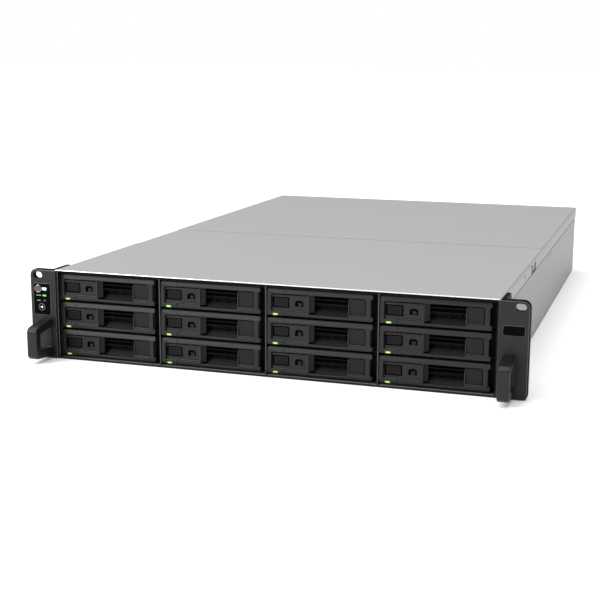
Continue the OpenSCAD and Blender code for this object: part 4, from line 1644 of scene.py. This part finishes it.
@dataclass
class RearEnd:
    """The rear panel with its vents, card slots, port shield, jacks and the supplies' sleeve."""

    half: float = 214.7
    upper: float = 214.2
    step: float = 73.8
    top: float = 86.15
    thick: float = 1.1
    ports: tuple[float, float, float, float] = (-198.0, 8.2, -52.0, 27.8)
    jack_x: tuple[float, ...] = (-186.0, -168.0, -150.0, -132.0)
    socket_x: tuple[tuple[float, float], ...] = ((-108.0, 15.0), (-88.0, 15.0), (-68.0, 14.0))
    floor: float = 8.8
    supply_x: float = 132.0
    supply_w: float = 73.5
    supply_h: float = 39.6
    supply_z: tuple[float, float] = (3.2, 44.2)
    supply_d: float = 185.0

    def cut_outs(self) -> list[np.ndarray]:
        """The openings in the panel.

        Returns:
            The outlines of all openings.
        """
        cuts = [rectangle(*self.ports, 0.5)]
        cuts += [rectangle(-40 + k * 24, 12, -24 + k * 24, 72, 0.4) for k in range(2)]
        cuts += [rectangle(-196 + k * 18, 38, -184 + k * 18, 70, 1.0) for k in range(8)]
        cuts += [rectangle(20 + k * 20, 18, 32 + k * 20, 66, 1.0) for k in range(5)]
        g = 0.35
        x0, x1 = self.supply_x - g, self.supply_x + self.supply_w + g
        cuts += [rectangle(x0, z - g, x1, z + self.supply_h + g, 0.8) for z in self.supply_z]
        return cuts

    def build(self) -> None:
        """Makes the whole rear end."""
        _, high = node_box("rear_panel")
        y1 = high[1] + 0.4
        self.build_panel(y1 - 2.3)
        self.build_ports(y1)
        self.build_sleeve(y1)
        for k in (1, 2):
            self.build_supply(k)

    def build_panel(self, y: float) -> None:
        """Makes the panel, the pierced inserts in its vents and the card slots' covers.

        Args:
            y: The panel's front face.
        """
        h, u = self.half - 0.05, self.upper - 0.05
        outline = rounded(
            [
                (-h, 1.25), (h, 1.25), (h, self.step), (u, self.step + 0.1), (u, self.top), (-u, self.top),
                (-u, self.step + 0.1), (-h, self.step),
            ],
            0.05, 1,
        )
        panel = plate([outline, *self.cut_outs()], y, y + self.thick, 0.15, steps=1)
        tall = plate(
            [rectangle(-0.6, 37.4, 12.6, 70.6, 0.8), *hexes(0.5, 38.6, 11.8, 69.8)], y - 0.9, y + 0.3
        )
        long = plate(
            [rectangle(-0.6, 17.4, 12.6, 66.6, 0.8), *hexes(0.5, 18.6, 11.8, 65.8)], y - 0.9, y + 0.3
        )
        vents = [tall.moved(x=-196 + k * 18) for k in range(8)]
        vents += [long.moved(x=20 + k * 20) for k in range(5)]
        set_piece(
            "rear_panel_sheet", joined([panel, *vents]), SUPPLY_STEEL, "root", ["rear_panel"]
        )
        holes = hexes(-38.5, 20, -25.5, 64)
        cover = plate(
            [rectangle(-42, 10, -22, 74, 1.2), *holes], y + self.thick + 0.02, y + 1.9, 0.15, steps=1
        )
        screw = lathe(
            [(0, 1.4), (1.2, 1.4), (1.2, 0.6), (2.2, 0.9), (3.0, 0.4), (3.0, -0.3), (0, -0.3)],
            (-32, y + 1.3, 69), 1, 18,
        )
        covers = joined([cover, screw])
        set_piece("card_slot_covers", covers + covers.moved(x=24), NICKEL, "root")

    def build_ports(self, y1: float) -> None:
        """Makes the port shield, four network jacks and three double sockets.

        Args:
            y1: The rear face of the rear end.
        """
        x0, z0, x1, z1 = self.ports
        f, back = self.floor, y1 - 0.2
        holes = [rectangle(x - 0.3, f - 0.3, x + 16.3, f + 13.9, 0.5) for x in self.jack_x]
        holes += [rectangle(x - 0.3, f - 0.3, x + w + 0.3, f + 16.3, 0.5) for x, w in self.socket_x]
        shield = plate(
            [rectangle(x0 - 0.8, z0 - 0.6, x1 + 0.8, z1 + 0.6, 0.6), *holes], y1 - 3.0, y1 - 2.35, 0.12,
            steps=1,
        )
        set_piece("port_shield", shield, NICKEL, "root")
        shells, liners, contacts, lamps = [], [], [], []
        for x in self.jack_x:
            mouth = rounded(
                [
                    (x + 2, f + 2), (x + 14, f + 2), (x + 14, f + 8.6), (x + 11, f + 8.6), (x + 11, f + 11),
                    (x + 5, f + 11), (x + 5, f + 8.6), (x + 2, f + 8.6),
                ],
                0.2, 1,
            )
            shells.append(
                plate([rectangle(x, f, x + 16, f + 13.6, 0.4), mouth], back - 21, back, 0.2, steps=1)
            )
            liners.append(block((x + 1.5, back - 16.5, f + 1.5), (x + 14.5, back - 14.5, f + 11.5)))
            contacts += [
                block((x + 3.6 + 1.2 * n, back - 14.6, f + 2.1), (x + 4.1 + 1.2 * n, back - 4, f + 2.9), 0.1)
                for n in range(8)
            ]
            lamps += [
                block((x + a, back - 0.4, f + 11.6), (x + a + 2.2, back + 0.05, f + 12.8), 0.2)
                for a in (2.0, 11.8)
            ]
        for x, w in self.socket_x:
            mouths = [rectangle(x + 1, f + z, x + w - 1, f + z + 6, 0.3) for z in (1.0, 8.8)]
            shells.append(
                plate([rectangle(x, f, x + w, f + 16, 0.4), *mouths], back - 18, back, 0.2, steps=1)
            )
            liners.append(block((x + 0.5, back - 14, f + 0.5), (x + w - 0.5, back - 12.5, f + 15.5)))
            liners += [
                block((x + 1.8, back - 13, f + z), (x + w - 1.8, back - 1.6, f + z + 1.7), 0.15)
                for z in (3.8, 11.6)
            ]
            contacts += [
                block((x + 3 + 2.3 * n, back - 10, f + z - 0.2), (x + 4 + 2.3 * n, back - 2.4, f + z), 0.05)
                for n in range(4)
                for z in (3.8, 11.6)
            ]
        set_piece("port_shells", joined(shells), NICKEL, "root")
        set_piece("port_liners", joined(liners), SOCKET_BLUE, "root")
        set_piece("port_contacts", joined(contacts), GOLD, "root")
        set_piece("port_lamps", joined(lamps), LED_RIM, "root")

    def build_sleeve(self, y1: float) -> None:
        """Makes the folded sleeve that guides both supplies, with its shelf.

        Args:
            y1: The rear face of the rear end.
        """
        x0, x1 = self.supply_x - 1.4, self.supply_x + self.supply_w + 1.4
        z0, z1 = self.supply_z[0] - 1.4, self.supply_z[1] + self.supply_h + 1.4
        inner = rectangle(x0 + 0.8, z0 + 0.8, x1 - 0.8, z1 - 0.8, 0.4)
        y0 = y1 - self.supply_d - 4
        tube = plate([rectangle(x0, z0, x1, z1, 1.0), inner], y0, y1 - 2.0, 0.12, steps=1)
        mid = (self.supply_z[0] + self.supply_h + self.supply_z[1]) / 2
        shelf = block((x0 + 0.7, y0, mid - 0.3), (x1 - 0.7, y1 - 2.0, mid + 0.3), 0.1)
        set_piece("supply_sleeve", tube + shelf, ZINC, "root")

    def build_supply(self, number: int) -> None:
        """Makes one supply: its case, face, fan, inlet, pins, handle, lamp and thumb tab.

        Args:
            number: The supply, 1 below and 2 above.
        """
        low, high = node_box(f"psu_{number}")
        body, slot = f"psu_{number}", "supply_steel"
        x, z = self.supply_x, self.supply_z[number - 1]
        w, h = self.supply_w, self.supply_h
        mid, y0, y1 = z + h / 2, low[1], low[1] + self.supply_d
        ring = plate(
            [rectangle(x, z, x + w, z + h, 0.9), rectangle(x + 1, z + 1, x + w - 1, z + h - 1, 0.5)], y0,
            y1 - 0.6, 0.15, steps=1,
        )
        end = plate(
            [
                rectangle(x + 0.5, z + 0.5, x + w - 0.5, z + h - 0.5, 0.5),
                *hexes(x + 6, z + 6, x + 50, z + h - 6),
            ],
            y0 + 0.3, y0 + 1.3,
        )
        slots = [rectangle(x + 5, mid - 15 + s * 6.6, x + 37, mid - 11.4 + s * 6.6, 1.7) for s in range(5)]
        inlet = rounded(
            [
                (x + 45, mid - 4), (x + 69, mid - 4), (x + 69, mid + 9), (x + 65.4, mid + 12.6),
                (x + 48.6, mid + 12.6), (x + 45, mid + 9),
            ],
            0.5,
        )
        tab = rectangle(x + 43, mid - 16.5, x + 69, mid - 8.5, 0.6)
        face = plate(
            [rectangle(x + 0.1, z + 0.1, x + w - 0.1, z + h - 0.1, 1.0), *slots, inlet, tab], y1 - 1.2, y1,
            0.3,
        )
        set_piece(f"{body}_case", joined([ring, end, face]), SUPPLY_STEEL, body, [body])
        card = block((x + 52, y0 + 0.1, mid - 12), (x + 70, y0 + 6, mid - 10.4), 0.2)
        set_piece(f"{body}_card_edge", card, GOLD, body)
        cup = plate([offset_loop(inlet, -0.8), inlet], y1 - 15.5, y1 + 0.02, 0.15, steps=1)
        floor = plate([offset_loop(inlet, -0.6)], y1 - 16.5, y1 - 15.0)
        latch_cup = plate([offset_loop(tab, -0.6), tab], y1 - 11, y1 - 0.4)
        fan_back = block((x + 3, y1 - 9, mid - 17), (x + 39, y1 - 7.6, mid + 17), 0.3)
        hub = rod((x + 21, y1 - 8, mid), 7.5, 4.5, 1, 0.8, 28)
        struts = joined(
            [
                block((x + 4.5, y1 - 5, mid + d), (x + 37.5, y1 - 3.6, mid + d + 1.6), 0.3)
                for d in (-8.6, 7.0)
            ]
        )
        set_piece(
            f"{body}_sockets", joined([cup, floor, latch_cup, fan_back, hub, struts]), EPOXY, body
        )
        pins = joined(
            [
                block((x + a - 1, y1 - 15.4, mid + b - 2), (x + a + 1, y1 - 4, mid + b + 2), 0.5)
                for a, b in ((51, 6.5), (57, 1), (63, 6.5))
            ]
        )
        set_piece(f"{body}_pins", pins, NICKEL, body)
        end_y = high[1]
        inner = rounded(
            [(x + 9.2, y1 - 0.5), (x + 9.2, end_y - 3.4), (x + 32.8, end_y - 3.4), (x + 32.8, y1 - 0.5)],
            [0.1, 3.4, 3.4, 0.1], 6,
        )
        outer = rounded(
            [(x + 6, y1 - 0.5), (x + 6, end_y), (x + 36, end_y), (x + 36, y1 - 0.5)], [0.1, 6.4, 6.4, 0.1], 6
        )
        bow = np.vstack([outer, inner[::-1]])
        handle = plate([bow], mid - 4, mid + 4, 0.6, Plane.FLAT)
        set_piece(f"{body}_handle", handle, LATCH_ABS, body)
        lamp = rod((x + 71, y1 - 0.5, mid + 15), 1.1, 0.9, 1, 0.3, 16)
        set_piece(f"{body}_lamp", lamp, LED_STATUS, body)
        key = block((x + 48, y1 - 10, mid - 15.4), (x + 66, y1 + 1, mid - 9.6), 0.5)
        grip = block((x + 52, y1, mid - 15.4), (x + 62, y1 + 7, mid - 9.6), 1.2, 3)
        ribs = joined(
            [
                block((x + 52.4, y1 + a, mid - 9.9), (x + 61.6, y1 + a + 0.7, mid - 9.5), 0.2)
                for a in (2.0, 3.6, 5.2)
            ]
        )
        node = f"psu_latch_{number}"
        set_piece(f"{node}_tab", joined([key, grip, ribs]), RELEASE_RED, node, [node])


# ---------------------------------------------------------------- inside


@dataclass
class Cooling:
    """Three fans in their frame."""

    size: float = 80.0
    depth: float = 38.0
    bore: float = 38.4
    rotor: float = 36.4
    hub: float = 17.5
    blades: int = 7
    pitch: float = 135.0
    axle: float = 43.4

    def housing(self) -> Shell:
        """One square housing with a flared bore, four struts and the motor's plate.

        Returns:
            The housing round its own axle, from its front face back.
        """
        s = self.size / 2
        outline = rectangle(-s, -s, s, s, 4.0, 4)
        corners = [circle(a * 34, b * 34, 2.2, 12) for a in (-1, 1) for b in (-1, 1)]
        flange = plate([outline, circle(0, 0, self.bore, 56), *corners], 0.0, 4.0, 0.4)
        back = flange.moved(y=self.depth - 4)
        tube = plate([circle(0, 0, s - 0.1, 56), circle(0, 0, self.bore, 56)], 3.5, self.depth - 3.5)
        disc = rod((0, self.depth - 3, 0), self.hub, 2.5, 1, 0.5, 40)
        shaft = rod((0, self.depth - 18, 0), 2.0, 16, 1, 0.2, 16)
        arms = []
        for a in range(4):
            turn = np.pi / 4 + a * np.pi / 2
            path = np.array(
                [
                    [np.cos(turn) * r, self.depth - 1.8, np.sin(turn) * r]
                    for r in (self.hub - 2, 27.0, self.bore + 0.8)
                ]
            )
            arms.append(wire(path, 1.3, 8))
        return joined([flange, back, tube, disc, shaft, *arms])

    def impeller(self) -> Shell:
        """A rotor: a cup-shaped hub with a bore, and twisted blades.

        A blade's point is at radius r and angle a = a0 + sweep (r - hub) + chord t, and its depth
        is 18.5 + 9.5 t (1 - share / 4), for t from -1 to 1.

        Returns:
            The rotor round its own axle.
        """
        hub = lathe(
            [
                (2.1, 13), (2.1, 29), (6, 31), (self.hub, 31), (self.hub, 9), (self.hub - 2.5, 6), (4, 5.2),
                (0, 5.2),
            ],
            (0, 0, 0), 1, 40,
        )
        plug = lathe([(0, 13), (2.1, 13)], (0, 0, 0), 1, 40)
        r = np.linspace(self.hub - 0.6, self.rotor, 9)
        t = np.linspace(-1, 1, 11)
        rr, tt = np.meshgrid(r, t, indexing="ij")
        share = (rr - self.hub) / (self.rotor - self.hub)
        angle = 0.35 * share + tt * (0.42 - 0.12 * share)
        y = 18.5 + 9.5 * tt * (1 - 0.25 * share)
        thick = 0.65 * (1 - tt**4) + 0.12
        blades = []
        for b in range(self.blades):
            a = angle + b * 2 * np.pi / self.blades
            sheet = [
                np.stack([rr * np.cos(a), y + side * thick, rr * np.sin(a)], axis=2) for side in (1, -1)
            ]
            loop = np.concatenate([sheet[0], sheet[1][:, ::-1]], axis=1)
            rows, columns = loop.shape[:2]
            caps = [
                np.stack(
                    [
                        e + np.arange(10), e + np.arange(10) + 1, e + columns - 2 - np.arange(10),
                        e + columns - 1 - np.arange(10),
                    ],
                    axis=1,
                )
                for e in (0, (rows - 1) * columns)
            ]
            blades.append(Shell(loop.reshape(-1, 3), [grid_faces(rows, columns), *caps]))
        return joined([hub, plug, *blades])

    def build(self) -> None:
        """Makes the frame with its three housings, the rotors, and the fans' leads' plugs."""
        low, _ = node_box("fan_frame")
        y, z = low[1], self.axle
        centres = [(k - 1) * self.pitch for k in range(3)]
        housing = self.housing()
        deck = block((-206, y + 2, 2.0), (206, y + self.depth - 2, 3.2), 0.2)
        posts = [
            block((x - 2, y + 4, 2.6), (x + 2, y + self.depth - 4, 72), 0.8)
            for x in (-202.5, -67.5, 67.5, 202.5)
        ]
        frame_part = joined([deck, *posts] + [housing.moved(x, y, z) for x in centres])
        set_piece("fan_housings", frame_part, FAN_PBT, "root", ["fan_frame"])
        impeller = self.impeller()
        for k, x in enumerate(centres, 1):
            node = f"fan_rotor_{k}"
            set_piece(f"{node}_impeller", impeller, FAN_BLADES, node, [node], (x, y, z))
            disc = plate([circle(0, 0, 11, 32)], 5.0, 5.18)
            set_piece(f"{node}_sticker", disc, LABEL, node, [], (x, y, z))
        plugs = joined(
            [block((x + 44, y + 12, 3.2), (x + 52, y + 20, 11), 0.6) for x in centres[:2]]
            + [block((-190, y + 12, 3.2), (-182, y + 20, 11), 0.6)]
        )
        set_piece("fan_plugs", plugs, IVORY, "root")


@dataclass
class Boards:
    """The backplane and the mainboard with what they carry."""

    bay_pitch: float = 106.5
    row_pitch: float = 27.4
    board_z: float = 7.2
    top: float = 8.8

    def fit(self, name: str, shell: Shell, finish: Finish, nodes: Sequence[str] = ()) -> None:
        """Makes a piece fixed to the boards."""
        set_piece(name, shell, finish, "root", nodes)

    def build(self) -> None:
        """Makes both boards."""
        self.build_backplane()
        self.build_mainboard()

    def build_backplane(self) -> None:
        """Makes the backplane: the pierced board, twelve drive connectors and its parts."""
        _, high = node_box("backplane")
        y = high[1] - 2.0
        bays = [((k % 4 - 2) * self.bay_pitch, 2.7 + (2 - k // 4) * self.row_pitch) for k in range(BAYS)]
        holes = [rectangle(x + 66, z + 6, x + 98, z + 20, 1.5) for x, z in bays]
        board = plate([rectangle(-208, 3, 208, 84, 1.5), *holes], y, y + 2.0, 0.1, steps=1)
        self.fit("backplane_board", board, BOARD, ["backplane"])
        connector = plate(
            [
                rectangle(12, 4, 56, 10, 0.6), rectangle(14, 5.2, 25, 8.8, 0.3),
                rectangle(27, 5.2, 54, 8.8, 0.3),
            ],
            y - 5.5, y + 0.1, 0.2, steps=1,
        )
        connector = connector + block((13, y - 1.2, 4.6), (55, y + 0.1, 9.4), 0.2)
        tongue = block((14.8, y - 4.8, 6.2), (53.2, y, 7.4), 0.2)
        self.fit(
            "backplane_sockets", joined([(connector + tongue).moved(x=x, z=z) for x, z in bays]), SOCKET
        )
        chips = joined(
            [block((x + 14, y + 1.9, z + 13), (x + 26, y + 3.6, z + 23), 0.3) for x, z in bays[::2]]
        )
        self.fit("backplane_chips", chips, EPOXY)
        cans = joined(
            [rod((x + 40 + 9 * n, y + 1.9, z + 17), 3.4, 9, 1, 0.6, 18) for x, z in bays for n in (0, 1)]
        )
        self.fit("backplane_capacitors", cans, CAPACITOR)
        plugs = joined([block((x, y + 1.9, 40), (x + 22, y + 11, 50), 0.6) for x in (-60, 30, 70)])
        self.fit("backplane_plugs", plugs, IVORY)

    def build_mainboard(self) -> None:
        """Makes the mainboard, its cooler, memory, chips, capacitors and connectors."""
        low, high = node_box("mainboard")
        y0, y1 = low[1], high[1] - 8.8
        t = self.top
        screws = [(x, y) for x in (-196, -40, 114) for y in (8.0, 168.0, 318.0)]
        board = plate(
            [rectangle(-205, y0, 124, y1, 2), *[circle(x, y, 1.7, 14) for x, y in screws]], self.board_z, t,
            0.1, Plane.FLAT, 1,
        )
        self.fit("mainboard_board", board, BOARD, ["mainboard"])
        stands = joined(
            [
                rod((x, y, 1.2), 3.0, 6.0, 2, 0.3, 6)
                + lathe([(0, 0), (3.2, 0), (3.2, 0.6), (2.4, 1.4), (0, 1.4)], (x, y, t), 2, 16)
                for x, y in screws
            ]
        )
        self.fit("mainboard_screws", stands, NICKEL)
        base = block((-118, 88, t), (-38, 178, t + 6), 0.6)
        fins = joined(
            [block((x, 88, t + 5), (x + 1.0, 178, 65.8), 0.15, 1) for x in np.linspace(-118, -39, 25)]
        )
        self.fit("processor_cooler", base + fins, FINS)
        slots = joined([block((-11.6 + k * 11, 64, t), (-3.4 + k * 11, 212, t + 8), 0.5) for k in range(4)])
        latches = joined(
            [
                block((-10.5 + k * 11, y, t + 2), (-4.5 + k * 11, y + 4, t + 18), 0.8)
                for k in range(4)
                for y in (63.5, 208.5)
            ]
        )
        self.fit("memory_slots", slots, SOCKET)
        self.fit("memory_latches", latches, IVORY)
        cards = joined(
            [
                plate(
                    [rectangle(68, t + 2, 208, t + 31, 0.6)], -8.2 + k * 11, -6.9 + k * 11, 0.1, Plane.SIDE,
                    1,
                )
                for k in range(4)
            ]
        )
        chips = joined(
            [
                block((-9.2 + k * 11, 74 + n * 15.5, t + 11), (-5.9 + k * 11, 84 + n * 15.5, t + 27), 0.3)
                for k in range(4)
                for n in range(9)
            ]
        )
        self.fit("memory_boards", cards, BOARD)
        parts = [
            block((60, 228, t), (112, 280, t + 3.4), 0.5), block((-180, 40, t), (-150, 70, t + 1.8), 0.3),
            block((-40, 230, t), (-18, 252, t + 1.6), 0.3), block((20, 250, t), (36, 266, t + 1.4), 0.3),
            block((-196, 250, t), (-182, 264, t + 1.4), 0.3), block((60, 60, t), (84, 84, t + 1.8), 0.3),
        ]
        parts += [block((-170 + n * 14, 216, t), (-160 + n * 14, 226, t + 5), 0.6) for n in range(9)]
        self.fit("mainboard_chips", joined(parts) + chips, EPOXY)
        spreader = joined(
            [block((64, 232, t + 3.3), (108, 276, t + 4.4), 0.4)]
            + [block((66 + n * 4, 234, t + 4.2), (67.4 + n * 4, 274, t + 16), 0.1, 1) for n in range(11)]
        )
        self.fit("chipset_cooler", spreader, FINS)
        cans = joined(
            [rod((-172 + n * 15, 200, t), 4.2, 12, 2, 0.8, 18) for n in range(9)]
            + [rod((52 + n * 12, 200, t), 3.2, 9, 2, 0.6, 16) for n in range(5)]
            + [rod((-150 + n * 20, 292, t), 3.2, 9, 2, 0.6, 16) for n in range(6)]
        )
        self.fit("mainboard_capacitors", cans, CAPACITOR)
        plugs = joined(
            [
                block((x, 4, t), (x + w, 14, t + 11), 0.6)
                for x, w in ((-160, 26), (-110, 52), (-20, 20), (40, 34), (90, 24))
            ]
        )
        self.fit("mainboard_plugs", plugs, IVORY)
        card_slots = joined([block((x, 230, t), (x + 7.5, 310, t + 11), 0.5) for x in (-35.5, -11.5)])
        self.fit("card_slots", card_slots, SOCKET)
        battery = rod((-130, 262, t), 10, 3.6, 2, 0.6, 32)
        self.fit("clock_battery", battery, NICKEL)


# ---------------------------------------------------------------- studio


@dataclass
class Studio:
    """The floor, the lights and the camera."""

    target: tuple[float, float, float] = (0.0, -32.0, 44.0)
    azimuth: float = 18.084
    elevation: float = 11.545
    roll: float = -0.2446
    slide: tuple[float, float] = (-60.054, -28.248)
    distance: float = 1366.199
    lens: float = 71.2575
    floor: str = "#fbfbfb"
    floor_half: float = 40.0
    sweep_glow: float = 0.22
    sensor: float = 36.0
    near: float = 0.02
    ambient: float = 0.2

    def camera(self) -> None:
        """Places the camera by its azimuth, elevation, roll, slide and distance about the target."""
        az, el, roll = np.radians([self.azimuth, self.elevation, self.roll])
        back = np.array([np.sin(az) * np.cos(el), -np.cos(az) * np.cos(el), np.sin(el)])
        right = np.array([np.cos(az), np.sin(az), 0.0])
        up = np.cross(back, right)
        c, s = np.cos(roll), np.sin(roll)
        turn = np.array([[c, -s, 0], [s, c, 0], [0, 0, 1]]) @ np.array([right, up, back])
        place = (np.array(self.target) + turn.T @ np.array([*self.slide, self.distance])) * MM
        matrix = np.eye(4)
        matrix[:3, :3] = turn.T
        matrix[:3, 3] = place
        lens = bpy.data.cameras.new("camera")
        lens.lens = self.lens
        lens.sensor_width = self.sensor
        lens.clip_start = self.near
        made = bpy.data.objects.new("camera", lens)
        made.matrix_world = Matrix(matrix.tolist())
        bpy.context.scene.collection.objects.link(made)
        bpy.context.scene.camera = made

    def light(self, name: str, place: Sequence[float], size: Sequence[float], power: float) -> None:
        """Adds a soft rectangular light that faces the target.

        Args:
            name: The light's name.
            place: Its place, in metres.
            size: Its width and height, in metres.
            power: Its power, in watts.
        """
        lamp = bpy.data.lights.new(name, "AREA")
        lamp.shape = "RECTANGLE"
        lamp.size, lamp.size_y = size
        lamp.energy = power
        made = bpy.data.objects.new(name, lamp)
        aim = Vector([t * MM for t in self.target]) - Vector(place)
        made.matrix_world = Matrix.Translation(
            Vector(place)
        ) @ aim.to_track_quat("-Z", "Y").to_matrix().to_4x4()
        bpy.context.scene.collection.objects.link(made)

    def sun(self, name: str, direction: Sequence[float], spread: float, power: float) -> None:
        """Adds a very soft light that comes evenly from one direction, so the floor is even.

        Args:
            name: The light's name.
            direction: The direction that it comes from.
            spread: The angle it fills, in degrees.
            power: Its strength.
        """
        lamp = bpy.data.lights.new(name, "SUN")
        lamp.angle = math.radians(spread)
        lamp.energy = power
        made = bpy.data.objects.new(name, lamp)
        made.matrix_world = Vector(direction).to_track_quat("Z", "Y").to_matrix().to_4x4()
        bpy.context.scene.collection.objects.link(made)

    def build(self) -> None:
        """Makes the floor, the white surround, the lights and the camera."""
        world = bpy.data.worlds.new("surround")
        world.use_nodes = True
        tree = world.node_tree
        tree.nodes.clear()
        seen = add_node(tree, "ShaderNodeLightPath").outputs["Is Camera Ray"]
        soft = add_node(tree, "ShaderNodeBackground", {"Color": linear("#ffffff"), "Strength": self.ambient})
        white = add_node(tree, "ShaderNodeBackground", {"Color": linear("#ffffff"), "Strength": 1.0})
        both = add_node(
            tree, "ShaderNodeMixShader", links={0: seen, 1: soft.outputs[0], 2: white.outputs[0]}
        )
        add_node(tree, "ShaderNodeOutputWorld", links={0: both.outputs[0]})
        bpy.context.scene.world = world
        bpy.context.scene.view_settings.view_transform = "Standard"
        mesh = bpy.data.meshes.new("floor")
        mesh.from_pydata(
            (self.floor_half * np.array([(-1, -1, 0), (1, -1, 0), (1, 1, 0), (-1, 1, 0)])).tolist(), [],
            [(0, 1, 2, 3)],
        )
        mesh.materials.append(
            Lamp(
                "matte_floor", self.floor, 0.9, relief=0.0, drift=0.004, drift_size=900,
                power=self.sweep_glow,
            ).material()
        )
        floor = bpy.data.objects.new("floor", mesh)
        bpy.context.scene.collection.objects.link(floor)
        self.sun("overhead", (-0.2, -0.1, 1.0), 80.0, 3.0)
        self.light("front_left", (-1.7, -2.3, 1.5), (1.4, 1.2), 60)
        self.light("right_side", (2.6, 0.5, 1.4), (1.8, 1.4), 3)
        self.camera()


def main() -> None:
    """Builds the unit and the studio."""
    logging.basicConfig(level=logging.INFO, format="%(name)s: %(message)s")
    DriveTray().build()
    RackEars().build()
    SheetCase().build()
    # The cage's dark colour is painted shade behind the trays
    dress_node("drive_cage", SHADED_CAGE_STEEL)
    RearEnd().build()
    Cooling().build()
    Boards().build()
    Studio().build()


if __name__ == "__main__":
    main()
